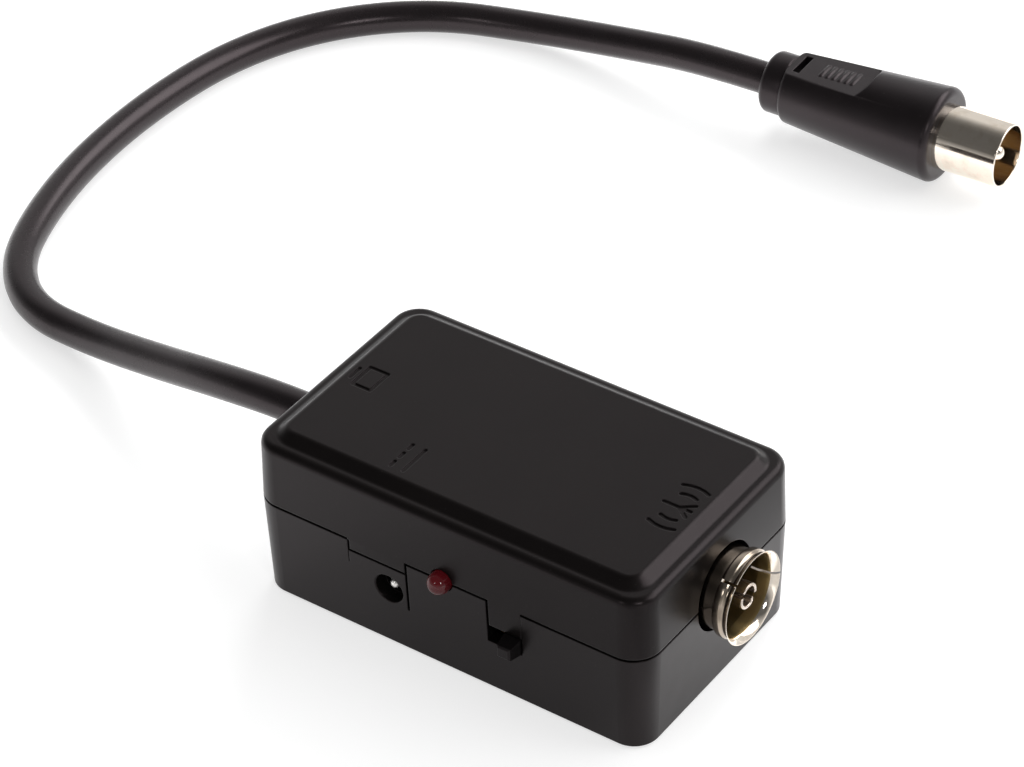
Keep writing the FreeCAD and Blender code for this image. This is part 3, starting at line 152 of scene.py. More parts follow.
def seen_straight(tree, path):
    """One where the camera sees a surface itself, and nought in reflections and bounced light."""
    return maths(tree, "MAXIMUM", path.outputs["Is Camera Ray"], path.outputs["Is Transmission Ray"])


def moulded_surface():
    """Fine spark-erosion grain with a slow drift of tone, sheen patches and a few dust specks."""
    tree, given, made = new_group("moulded surface", [
        ("Tone", "Color", (0.02, 0.02, 0.02, 1)), ("Pale Tone", "Color", (0.03, 0.03, 0.03, 1)),
        ("Grain Scale", "Float", 4000.0), ("Roughness Low", "Float", 0.35),
        ("Roughness High", "Float", 0.5), ("Dust", "Float", 0.2)], SURFACE_OUTPUTS)
    place = put(tree, "TexCoord").outputs["Object"]
    grain = put(tree, "TexNoise", in_Detail=2.0, in_Roughness=0.6)
    tree.links.new(place, grain.inputs["Vector"])
    tree.links.new(given.outputs["Grain Scale"], grain.inputs["Scale"])
    drift = noise_at(tree, place, 90.0, 3.0)
    patch = noise_at(tree, place, 320.0, 4.0, 0.65)
    specks = spread(tree, noise_at(tree, place, 2600.0, 1.0), 0.74, 0.79)
    tone = blended(tree, spread(tree, drift, 0.35, 0.65), given.outputs["Tone"],
                   given.outputs["Pale Tone"])
    dusty = maths(tree, "MULTIPLY", specks, given.outputs["Dust"])
    tree.links.new(blended(tree, dusty, tone, DUST_TONE), made.inputs["Color"])
    rough = spread(tree, patch, 0.3, 0.7, given.outputs["Roughness Low"], given.outputs["Roughness High"])
    tree.links.new(rough, made.inputs["Roughness"])
    tree.links.new(grain.outputs["Fac"], made.inputs["Height"])
    return tree


def plated_surface():
    """Bright plating: fine drawing lines round an axis, faint haze and small stains."""
    tree, given, made = new_group("plated surface", [
        ("Tone", "Color", (0.75, 0.72, 0.68, 1)), ("Stain Tone", "Color", (0.5, 0.42, 0.33, 1)),
        ("Stain", "Float", 0.4), ("Roughness Low", "Float", 0.08), ("Roughness High", "Float", 0.2),
        ("Line Stretch", "Vector", EVEN_LINES)], SURFACE_OUTPUTS)
    place = put(tree, "TexCoord").outputs["Object"]
    along = put(tree, "VectorMath", operation="MULTIPLY")
    tree.links.new(place, along.inputs[0])
    tree.links.new(given.outputs["Line Stretch"], along.inputs[1])
    lines = noise_at(tree, along.outputs["Vector"], 2500.0, 2.0)
    haze = noise_at(tree, place, 420.0, 4.0, 0.6)
    stain = maths(tree, "MULTIPLY", spread(tree, haze, 0.48, 0.75), given.outputs["Stain"])
    tone = blended(tree, stain, given.outputs["Tone"], given.outputs["Stain Tone"])
    tree.links.new(tone, made.inputs["Color"])
    rough = spread(tree, maths(tree, "MULTIPLY", haze, lines), 0.12, 0.42,
                   given.outputs["Roughness Low"], given.outputs["Roughness High"])
    tree.links.new(rough, made.inputs["Roughness"])
    tree.links.new(lines, made.inputs["Height"])
    return tree


def new_material(name):
    """A node material, with its tree and its shader."""
    material = bpy.data.materials.new(name)
    material.use_nodes = True
    tree = material.node_tree
    return material, tree, tree.nodes["Principled BSDF"]


def covered(name, group, relief, depth, soft_edge, values, **shader_values):
    """A material from one surface group, with rounded-looking edges under its relief."""
    material, tree, shader = new_material(name)
    surface = put(tree, "Group", node_tree=group)
    for label, value in values.items():
        surface.inputs[label].default_value = value
    for label, value in shader_values.items():
        shader.inputs[label.replace("_", " ")].default_value = value
    tree.links.new(surface.outputs["Color"], shader.inputs["Base Color"])
    tree.links.new(surface.outputs["Roughness"], shader.inputs["Roughness"])
    bump = put(tree, "Bump", in_Strength=relief)
    bump.inputs["Distance"].default_value = depth
    tree.links.new(surface.outputs["Height"], bump.inputs["Height"])
    if soft_edge:
        edge = put(tree, "Bevel", samples=6)
        edge.inputs["Radius"].default_value = soft_edge
        tree.links.new(edge.outputs["Normal"], bump.inputs["Normal"])
    tree.links.new(bump.outputs["Normal"], shader.inputs["Normal"])
    return material


def make_finishes():
    """Every finish by the name of its slot, and the further ones that single pieces take."""
    moulded = moulded_surface()
    plated = plated_surface()
    plain_tint = (1.0, 1.0, 1.0)
    black_tint = (1.0, 0.84, 0.88)

    def plastic(name, tone, pale, grain, rough, relief, dust=0.2, soft=0.15 * MM, level=0.5,
                tint=plain_tint):
        """A moulded finish between two tones and two roughnesses."""
        return covered(name, moulded, relief, 0.02 * MM, soft, {
            "Tone": (*tone, 1), "Pale Tone": (*pale, 1), "Grain Scale": grain, "Roughness Low": rough[0],
            "Roughness High": rough[1], "Dust": dust}, Specular_IOR_Level=level, Specular_Tint=(*tint, 1))

    def metal(name, tone, stain_tone, stain, rough, lines=TURNED_LINES):
        """A metal finish with its stains, and lines that run round the part unless they are even."""
        return covered(name, plated, 0.08, 0.01 * MM, 0, {
            "Tone": (*tone, 1), "Stain Tone": (*stain_tone, 1), "Stain": stain, "Roughness Low": rough[0],
            "Roughness High": rough[1], "Line Stretch": lines}, Metallic=1.0)

    shell_tones = ((0.0034, 0.0029, 0.0027), (0.0042, 0.0036, 0.0033))
    return {
        "casing_plastic": plastic("casing plastic", *shell_tones, grain=5200.0, rough=(0.30, 0.34),
                                  relief=0.25, dust=0.05, soft=0.2 * MM, level=0.27, tint=black_tint),
        "upper_plastic": plastic("upper shell plastic", *shell_tones, grain=5200.0, rough=(0.28, 0.32),
                                 relief=0.25, dust=0.05, soft=0.2 * MM, level=0.22, tint=black_tint),
        "jack_plastic": plastic("jack plastic", (0.0034, 0.003, 0.0028), (0.0045, 0.004, 0.0037),
                                grain=6000.0, rough=(0.3, 0.4), relief=0.2, dust=0.05, soft=0.1 * MM,
                                level=0.3, tint=black_tint),
        "knob_plastic": plastic("knob plastic", (0.0025, 0.0022, 0.0022), (0.0035, 0.003, 0.003),
                                grain=7000.0, rough=(0.35, 0.45), relief=0.2, dust=0.05, soft=0.1 * MM,
                                level=0.25, tint=black_tint),
        "plug_moulding": plastic("plug moulding", (0.0042, 0.0034, 0.0037), (0.006, 0.0049, 0.0052),
                                 grain=3200.0, rough=(0.3, 0.38), relief=0.25, dust=0.08, soft=0.3 * MM,
                                 level=0.45, tint=black_tint),
        "lead_jacket": plastic("lead jacket", (0.008, 0.0066, 0.0069), (0.011, 0.009, 0.0094),
                               grain=2400.0, rough=(0.24, 0.3), relief=0.2, dust=0.08, soft=0,
                               level=0.46, tint=black_tint),
        "red_lens": plastic("red lens", (0.07, 0.003, 0.006), (0.1, 0.006, 0.009), grain=900.0,
                            rough=(0.04, 0.08), relief=0.02, dust=0.05, soft=0, level=0.42),
        "brown_insulator": plastic("brown insulator", (0.34, 0.21, 0.075), (0.42, 0.27, 0.1),
                                   grain=2600.0, rough=(0.4, 0.6), relief=0.3, dust=0.1, soft=0.05 * MM),
        "board_laminate": plastic("board laminate", (0.42, 0.32, 0.17), (0.5, 0.4, 0.22), grain=1800.0,
                                  rough=(0.4, 0.6), relief=0.3, dust=0.1, soft=0.05 * MM),
        "white_dielectric": plastic("white dielectric", (0.78, 0.78, 0.76), (0.86, 0.86, 0.85),
                                    grain=1500.0, rough=(0.35, 0.5), relief=0.1, dust=0.05, soft=0),
        "tie_nylon": plastic("tie nylon", (0.6, 0.58, 0.52), (0.7, 0.68, 0.63), grain=2000.0,
                             rough=(0.35, 0.5), relief=0.1),
        "chip_epoxy": plastic("chip epoxy", (0.012, 0.012, 0.013), (0.022, 0.022, 0.023), grain=4000.0,
                              rough=(0.45, 0.6), relief=0.3, dust=0.1, soft=0.05 * MM),
        "ferrite": plastic("ferrite", (0.03, 0.031, 0.034), (0.05, 0.051, 0.055), grain=3000.0,
                           rough=(0.5, 0.7), relief=0.4),
        "ceramic": plastic("ceramic", (0.36, 0.25, 0.16), (0.44, 0.33, 0.22), grain=3000.0,
                           rough=(0.4, 0.6), relief=0.2),
        "capacitor_sleeve": plastic("capacitor sleeve", (0.012, 0.02, 0.07), (0.018, 0.03, 0.09),
                                    grain=900.0, rough=(0.15, 0.25), relief=0.05, dust=0.1,
                                    soft=0.05 * MM),
        "nickel_plate": metal("nickel plate", (0.92, 0.83, 0.72), (0.6, 0.47, 0.34), 0.35, (0.06, 0.16)),
        "rolled_nickel": metal("rolled nickel", (0.72, 0.63, 0.55), (0.45, 0.36, 0.26), 0.4, (0.2, 0.3)),
        # Outside of the socket behind the lip: darker tone painted for the dark surroundings it mirrors; its
        # roughness blurs lamp glints.
        "dark_mirror_painted_nickel": metal("dark mirror painted nickel", (0.44, 0.37, 0.3), (0.2, 0.15, 0.1), 0.6, (0.12, 0.24)),
        # Inside of the socket back from the lip: dark brown tone is painted shade for the dim inside.
        "shade_painted_nickel": metal("shade painted nickel", (0.28, 0.21, 0.1), (0.16, 0.11, 0.045), 0.4,
                               (0.32, 0.45)),
        "tinned_pin": metal("tinned pin", (1.0, 0.98, 0.95), (0.9, 0.88, 0.85), 0.2, (0.36, 0.42),
                            EVEN_LINES),
        "tinned_wire": metal("tinned wire", (0.72, 0.72, 0.73), (0.5, 0.5, 0.5), 0.3, (0.15, 0.35),
                             EVEN_LINES),
    }


# Lead

LEAD_RADIUS = 2.4
LEAD_POINTS = [
    (-29.4, 0, 14.5), (-36.5, 0, 14.5), (-48.0, 1.0, 12.4), (-62.0, 4.2, 7.6), (-75.8, 7.3, 3.4),
    (-88.0, 8.6, 2.4), (-96.6, 15.2, 2.4), (-101.5, 26.0, 2.4), (-104.9, 40.0, 2.4), (-105.9, 56.5, 2.4),
    (-104.0, 73.5, 2.4), (-97.0, 88.0, 2.4), (-85.0, 98.8, 2.4), (-69.5, 103.5, 2.7), (-54.0, 104.6, 4.8),
    (-40.489, 104.591, 7.0), (-29.3, 105.08, 7.0),
]


def lay_lead(finish):
    """The free lead: one smooth line from the box's end, down to the floor and round to the plug."""
    line = bpy.data.curves.new("lead", "CURVE")
    line.dimensions = "3D"
    line.bevel_depth = LEAD_RADIUS * MM
    line.bevel_resolution = 8
    line.use_fill_caps = True
    line.resolution_u = 16
    spline = line.splines.new("NURBS")
    spline.points.add(len(LEAD_POINTS) - 1)
    for point, (x, y, z) in zip(spline.points, LEAD_POINTS):
        point.co = (x * MM, y * MM, z * MM, 1.0)
    spline.order_u = 3
    spline.use_endpoint_u = True
    lead = bpy.data.objects.new("lead", line)
    bpy.context.scene.collection.objects.link(lead)
    lead.data.materials.append(finish)
    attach(lead, "casing")
    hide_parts("output_lead")


# Pieces

def node_object(node):
    """The object of one solid."""
    entry = frame["nodes"][node]
    return entry if hasattr(entry, "data") else entry["object"]


def finish_nodes(finishes):
    """Every solid that stays in view takes the finish of its material slot."""
    for subpart in frame["record"]["subparts"]:
        piece = node_object(subpart["node"])
        piece.data.materials.clear()
        piece.data.materials.append(finishes[subpart["material_slot"]])


# Shapes

def working_copy(node):
    """A solid's own shape in millimetres: doubled points joined and flat faces made whole."""
    shape = bmesh.new()
    shape.from_mesh(node_object(node).data)
    bmesh.ops.scale(shape, vec=(1 / MM, 1 / MM, 1 / MM), verts=shape.verts)
    join_within, flat_within = 0.0005, math.radians(0.4)
    bmesh.ops.remove_doubles(shape, verts=shape.verts, dist=join_within)
    bmesh.ops.dissolve_limit(shape, angle_limit=flat_within, verts=shape.verts, edges=shape.edges)
    bmesh.ops.recalc_face_normals(shape, faces=shape.faces)
    return shape


def round_edges(shape, chosen, width, steps):
    """Rounds off the edges that the test picks."""
    edges = [edge for edge in shape.edges if len(edge.link_faces) == 2 and chosen(edge)]
    bmesh.ops.bevel(shape, geom=edges, offset=width, segments=steps, profile=0.5, affect="EDGES",
                    clamp_overlap=False)


def turned(profile, place, heading, columns, closed=False):
    """A shape turned round an axis, from (distance along it, radius) pairs in millimetres."""
    shape = bmesh.new()
    heading = Vector(heading).normalized()
    across = heading.cross(Vector((0, 0, 1))).normalized()
    upward = across.cross(heading)
    rings = []
    for along, radius in profile:
        centre = Vector(place) + heading * along
        if radius == 0:
            rings.append([shape.verts.new(centre)])
            continue
        ring = []
        for column in range(columns):
            turn = 2 * math.pi * column / columns
            way = across * math.cos(turn) + upward * math.sin(turn)
            ring.append(shape.verts.new(centre + way * radius))
        rings.append(ring)
    following = rings[1:] + rings[:1] if closed else rings[1:]
    for near, far in zip(rings, following):
        for column in range(columns):
            after = (column + 1) % columns
            if len(near) == 1:
                shape.faces.new((near[0], far[column], far[after]))
            elif len(far) == 1:
                shape.faces.new((near[column], far[0], near[after]))
            else:
                shape.faces.new((near[column], far[column], far[after], near[after]))
    bmesh.ops.recalc_face_normals(shape, faces=shape.faces)
    return shape


def block(shape, low, high):
    """A plain block between two corners, added to the shape."""
    corners = [shape.verts.new((x, y, z)) for x in (low[0], high[0]) for y in (low[1], high[1])
               for z in (low[2], high[2])]
    for side in ((0, 1, 3, 2), (4, 6, 7, 5), (0, 4, 5, 1), (2, 3, 7, 6), (0, 2, 6, 4), (1, 5, 7, 3)):
        shape.faces.new([corners[index] for index in side])


def draw_out(shape, outline, first, last, along_x=False):
    """Draws a flat outline out: upwards from (x, y) points, or along x from (y, z) points."""
    def at(level):
        if along_x:
            return [shape.verts.new((level, y, z)) for y, z in outline]
        return [shape.verts.new((x, y, level)) for x, y in outline]

    near, far = at(first), at(last)
    shape.faces.new(near[::-1])
    shape.faces.new(far)
    for index in range(len(outline)):
        after = (index + 1) % len(outline)
        shape.faces.new((near[index], near[after], far[after], far[index]))


def arc(centre_along, centre_across, size, first, last, steps=8):
    """Points of an arc in a profile or section, from one angle to another."""
    points = []
    for step in range(steps + 1):
        turn = math.radians(first + (last - first) * step / steps)
        points.append((centre_along + size * math.cos(turn), centre_across + size * math.sin(turn)))
    return points


def prism(outline, low, high):
    """A flat outline of (x, y) points, drawn up from one height to another, as its own shape."""
    shape = bmesh.new()
    draw_out(shape, outline, low, high)
    bmesh.ops.recalc_face_normals(shape, faces=shape.faces)
    return shape


def stroke(shape, start, end, width, low, high):
    """An upright bar with round ends, for cutting one line of a mark into the panel."""
    start, end = Vector((*start, 0)), Vector((*end, 0))
    line = (end - start).normalized()
    side = Vector((-line.y, line.x, 0))
    outline = []
    for middle, first in ((end, -90), (start, 90)):
        for step in range(7):
            turn = math.radians(first + 30 * step)
            point = middle + (line * math.cos(turn) + side * math.sin(turn)) * (width / 2)
            outline.append((point.x, point.y))
    draw_out(shape, outline, low, high)


def finished_piece(name, shape, finish, nodes, crisp=32):
    """The shape as an object in metres, evenly shaded, that stands for its solids.

    Edges that turn by more than the crisp angle, in degrees, stay sharp.
    """
    bmesh.ops.scale(shape, vec=(MM, MM, MM), verts=shape.verts)
    for face in shape.faces:
        face.smooth = True
    for edge in shape.edges:
        edge.smooth = len(edge.link_faces) == 2 and edge.calc_face_angle(3.0) < math.radians(crisp)
    mesh = bpy.data.meshes.new(name)
    shape.to_mesh(mesh)
    shape.free()
    piece = bpy.data.objects.new(name, mesh)
    bpy.context.scene.collection.objects.link(piece)
    mesh.materials.append(finish)
    even = piece.modifiers.new("even shading", "WEIGHTED_NORMAL")
    even.keep_sharp = True
    even.weight = 80
    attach(piece, "casing")
    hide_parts(*nodes)
    return piece


def cut_away(shape, cutter_shape):
    """The shape less the cutter, both in millimetres."""
    parts = []
    for name, source in (("panel", shape), ("cutter", cutter_shape)):
        mesh = bpy.data.meshes.new(name)
        source.to_mesh(mesh)
        source.free()
        part = bpy.data.objects.new(name, mesh)
        bpy.context.scene.collection.objects.link(part)
        parts.append(part)
    cut = parts[0].modifiers.new("cut", "BOOLEAN")
    cut.operation = "DIFFERENCE"
    cut.solver = "EXACT"
    cut.use_self = True
    cut.object = parts[1]
    made = bpy.data.meshes.new_from_object(parts[0].evaluated_get(bpy.context.evaluated_depsgraph_get()))
    result = bmesh.new()
    result.from_mesh(made)
    for part in parts:
        bpy.data.objects.remove(part)
    return result


# Dressed pieces

PANEL_TOP = 24.6
PANEL_FOOT = 23.5
PANEL_EDGE = 0.32
PANEL_FILLET = 0.25
MARK_WIDTH = 0.55
MARK_DEPTH = 0.2
TONGUE_LEFT = -13.85
TONGUE_RIGHT = -5.0
TONGUE_BOTTOM = 13.0
PLUG_PLACE = (-29.3, 105.08, 7.0)
PLUG_TURN = math.radians(2.5)
PLUG_HEADING = (math.cos(PLUG_TURN), math.sin(PLUG_TURN), 0)
PLUG_BODY_LENGTH = 28.3
PLUG_TUBE_START = 22.0
PLUG_SLEEVE_END = 38.0
PLUG_SLEEVE_RADIUS = 4.75
PLUG_BORE = 4.35
PLUG_SEAT = 4.55
PLUG_PIN_RADIUS = 1.15
PLUG_PIN_END = 37.3
PAD_REAR = 3.5
PAD_END = 16.8
PAD_HEIGHT = 4.3
PAD_RISE = 0.45 / (PAD_END - PAD_REAR)
PAD_HALF_WIDTH = 4.6
PAD_CORNER = 3.6
RIB_COUNT = 6
RIB_PITCH = 1.0
JACK_PIN_TIP = (-8.25, -16.2, 9.05)
JACK_PIN_RADIUS = 0.72
LAMP_TIP = (0, -19.2, 14.5)
LAMP_RADIUS = 1.5
LAMP_FLANGE = 1.9


def mark_lines():
    """Sunk signs beside the three connections, as (start, end) pairs read from the front right.

    A mast with waves by the aerial socket, a screen by the lead and a direct-current sign by the jack.
    """
    mast = [((0, -1.9), (0, 1.9)), ((0, 0.3), (-1.2, 1.9)), ((0, 0.3), (1.2, 1.9))]
    for radius in (2.5, 4.2):
        for side in (-1, 1):
            wave = [(side * radius * math.cos(turn), radius * math.sin(turn) + 0.2)
                    for turn in map(math.radians, (-26, -13, 0, 13, 26))]
            mast += list(zip(wave, wave[1:]))
    screen = [((-1.9, 1.8), (1.9, 1.8)), ((1.9, 1.8), (1.9, -0.9)), ((1.9, -0.9), (-1.9, -0.9)),
              ((-1.9, -0.9), (-1.9, 1.8)), ((-1.0, -1.9), (1.0, -1.9))]
    current = [((-2.3, 1.0), (2.3, 1.0)), ((-2.3, -0.9), (-1.4, -0.9)), ((-0.45, -0.9), (0.45, -0.9)),
               ((1.4, -0.9), (2.3, -0.9))]
    return ((22.7, -0.2, mast), (-22.9, -0.4, screen), (-9.5, -10.3, current))


def dress_upper_shell(finish):
    """The top shell with soft panel edges, sunk signs and open gaps round the jack's tongue."""
    shape = working_copy("upper_shell")

    def bend(edge, height, outward):
        """Whether the edge lies at the height and bends clearly, outward or inward."""
        level = all(abs(vert.co.z - height) < 0.01 for vert in edge.verts)
        return level and edge.is_convex == outward and edge.calc_face_angle(0) > 0.3

    round_edges(shape, lambda edge: bend(edge, PANEL_TOP, True), PANEL_EDGE, 4)
    round_edges(shape, lambda edge: bend(edge, PANEL_FOOT, False), PANEL_FILLET, 3)
    cutter = bmesh.new()
    for centre_x, centre_y, lines in mark_lines():
        for start, end in lines:
            stroke(cutter, (centre_x + start[1], centre_y - start[0]),
                   (centre_x + end[1], centre_y - end[0]), MARK_WIDTH, PANEL_TOP - MARK_DEPTH,
                   PANEL_TOP + 0.5)
    shape = cut_away(shape, cutter)
    gap_left, wall_out, wall_in = -14.4, -18.5, -15.0
    gaps = bmesh.new()
    block(gaps, (gap_left, wall_out, 12.4), (TONGUE_RIGHT, wall_in, TONGUE_BOTTOM))
    block(gaps, (gap_left, wall_out - 0.1, 12.3), (TONGUE_LEFT, wall_in + 0.1, 14.45))
    bmesh.ops.recalc_face_normals(gaps, faces=gaps.faces)
    finished_piece("top_shell", cut_away(shape, gaps), finish, ["upper_shell"])


def cut_pad(shape):
    """Sinks the flat pad, with its round front corners, and the cross slot behind its ribs."""
    rear, corner = PAD_REAR - 0.02, PAD_END - PAD_CORNER
    outline = [(rear, -PAD_HALF_WIDTH), (corner, -PAD_HALF_WIDTH)]
    outline += arc(corner, -PAD_HALF_WIDTH + PAD_CORNER, PAD_CORNER, -90, 0)[1:]
    outline += arc(corner, PAD_HALF_WIDTH - PAD_CORNER, PAD_CORNER, 0, 90) + [(rear, PAD_HALF_WIDTH)]
    cutter = prism(outline, 0, 12)
    for vert in cutter.verts:
        if vert.co.z < 1:
            vert.co.z = PAD_HEIGHT + PAD_RISE * (vert.co.x - PAD_REAR)
    slot_start, slot_end, slot_half, slot_floor = PAD_REAR + 1.0, PAD_REAR + 2.1, 2.2, 2.8
    slot = bmesh.new()
    block(slot, (slot_start, -slot_half, slot_floor), (slot_end, slot_half, 9))
    bmesh.ops.recalc_face_normals(slot, faces=slot.faces)
    return cut_away(cut_away(shape, cutter), slot)


def add_rib(shape, place, height):
    """One soft grip rib across the pad, round on top, with pointed ends."""
    half_width, rise, half_length, tip = 0.32, 0.25, 1.45, 1.75
    ridge = [(place + half_width * math.cos(turn), height - 0.08 + rise * math.sin(turn))
             for turn in map(math.radians, range(0, 181, 20))]
    near, far = [[shape.verts.new((x, y, z)) for x, z in ridge] for y in (-half_length, half_length)]
    near_tip, far_tip = [shape.verts.new((place, y, height - 0.05)) for y in (-tip, tip)]
    for step in range(len(ridge) - 1):
        shape.faces.new((near[step], far[step], far[step + 1], near[step + 1]))
        shape.faces.new((near[step + 1], near_tip, near[step]))
        shape.faces.new((far[step], far_tip, far[step + 1]))
    shape.faces.new([near[0], near[-1], far[-1], far[0]])
    shape.faces.new([near[0], near_tip, near[-1]])
    shape.faces.new([far[-1], far_tip, far[0]])


def dress_plug_body(finish):
    """The moulded grip, turned with round edges, with its sunk pad, cross slot and soft grip ribs.

    It is made along +X from its own start and then laid on the floor. Its rounded edges are arcs: place
    along it, radius of the arc's centre, size and angles.
    """
    hole = 4.57
    collar = arc(0.9, 3.68, 0.9, 180, 90) + arc(3.3, 4.38, 0.2, 90, 20, 4)
    grip = arc(4.25, 4.55, 0.75, 180, 92) + arc(27.2, 5.9, 1.1, 88, 0, 12)
    outside = [(0, 0)] + collar + grip
    outside += [(PLUG_BODY_LENGTH, hole), (PLUG_TUBE_START, hole), (PLUG_TUBE_START, 0)]
    shape = cut_pad(turned(outside, (0, 0, 0), (1, 0, 0), columns=144))
    for index in range(RIB_COUNT):
        place = PAD_REAR + 4.9 + index * RIB_PITCH
        add_rib(shape, place + 0.25, PAD_HEIGHT + PAD_RISE * (place - PAD_REAR))
    bmesh.ops.recalc_face_normals(shape, faces=shape.faces)
    heading = Matrix.Rotation(PLUG_TURN, 3, "Z")
    bmesh.ops.rotate(shape, cent=(0, 0, 0), verts=shape.verts, matrix=heading)
    bmesh.ops.translate(shape, vec=PLUG_PLACE, verts=shape.verts)
    return finished_piece("plug_moulding", shape, finish, ["plug_body"], 40)


def turn_plug_metal(finish):
    """The plug's bright tube with its rolled-over end, and its centre pin with a dome."""
    lip, wall_end = 0.15, PLUG_SLEEVE_END - 0.15
    sleeve = [(PLUG_TUBE_START, PLUG_SEAT), (28.26, PLUG_SEAT), (PLUG_BODY_LENGTH, PLUG_SLEEVE_RADIUS)]
    sleeve += arc(wall_end, PLUG_SLEEVE_RADIUS - lip, lip, 90, 0, 5)
    sleeve += arc(wall_end, PLUG_BORE + lip, lip, 0, -90, 5) + [(PLUG_TUBE_START, PLUG_BORE)]
    tube = finished_piece("plug_tube", turned(sleeve, PLUG_PLACE, PLUG_HEADING, columns=128, closed=True),
                          finish, ["plug_sleeve"])
    pin_start = 23.5
    pin = [(pin_start, 0), (pin_start, PLUG_PIN_RADIUS)]
    pin += arc(PLUG_PIN_END - PLUG_PIN_RADIUS, 0, PLUG_PIN_RADIUS, 90, 9, 9) + [(PLUG_PIN_END, 0)]
    centre = finished_piece("plug_centre_pin", turned(pin, PLUG_PLACE, PLUG_HEADING, columns=48), finish,
                            ["plug_pin"])
    return [tube, centre]


def dome(radius, turns):
    """Points of a domed tip, from near its middle to its full radius."""
    return [(radius - radius * math.cos(turn), radius * math.sin(turn)) for turn in map(math.radians, turns)]


def turn_jack_pin(finish):
    """The jack's centre pin with its dome, and the tail that it is soldered by."""
    length, tail_size = 11.4, 0.7
    pin = [(0, 0)] + dome(JACK_PIN_RADIUS, range(12, 91, 13)) + [(length, JACK_PIN_RADIUS), (length, 0)]
    shape = turned(pin, JACK_PIN_TIP, (0, 1, 0), columns=48)
    low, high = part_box("dc_jack_pin")
    tail = high[1] / MM
    middle, height = JACK_PIN_TIP[0], JACK_PIN_TIP[2]
    block(shape, (middle - tail_size, tail - tail_size, low[2] / MM), (middle + tail_size, tail, height))
    bmesh.ops.recalc_face_normals(shape, faces=shape.faces)
    finished_piece("jack_centre_pin", shape, finish, ["dc_jack_pin"])


def turn_lamp(finish):
    """The red lens: a domed barrel with a soft-edged flange at its foot."""
    length, flange_start, soft = 5.3, 4.3, 0.08
    lamp = [(0, 0)] + dome(LAMP_RADIUS, range(8, 91, 8))
    lamp += [(LAMP_RADIUS, LAMP_RADIUS), (flange_start, LAMP_RADIUS), (flange_start, LAMP_FLANGE - soft)]
    lamp += [(flange_start + soft, LAMP_FLANGE), (length - soft, LAMP_FLANGE)]
    lamp += [(length, LAMP_FLANGE - soft), (length, 0)]
    finished_piece("lamp_lens", turned(lamp, LAMP_TIP, (0, 1, 0), columns=64), finish,
                   ["indicator_lamp"])


SOCKET_Y = 0.6
SOCKET_Z = 14.5
FIRST_SLIT_TURN = -3
SECOND_SLIT_AFTER = 132
HALF_SLIT = 0.17
SLIT_ROOT = 26.5
BEAD_START = 30.8
SOCKET_COLUMNS = 56
# Places along x and radii of the socket's drawn wall, from its back to the lip, outside and inside
SOCKET_OUTSIDE = [
    (19.5, 5.3), (26.5, 5.3), (30.45, 5.3), (30.58, 5.33), (30.7, 5.5), (30.8, 5.72), (30.88, 5.78),
    (30.98, 5.8), (31.62, 5.8), (31.72, 5.78), (31.82, 5.7), (31.98, 5.58), (32.15, 5.55), (32.4, 5.6),
    (32.65, 5.78), (32.87, 6.0), (32.95, 6.08), (32.98, 6.1),
]
SOCKET_INSIDE = [
    (19.5, 4.95), (26.5, 4.95), (30.45, 4.97), (30.58, 4.98), (30.7, 5.0), (30.8, 5.02), (30.88, 5.03),
    (30.98, 5.05), (31.62, 5.16), (31.72, 5.18), (31.82, 5.2), (31.98, 5.24), (32.15, 5.3), (32.4, 5.42),
    (32.65, 5.6), (32.85, 5.8), (32.96, 5.93), (33.0, 6.02),
]


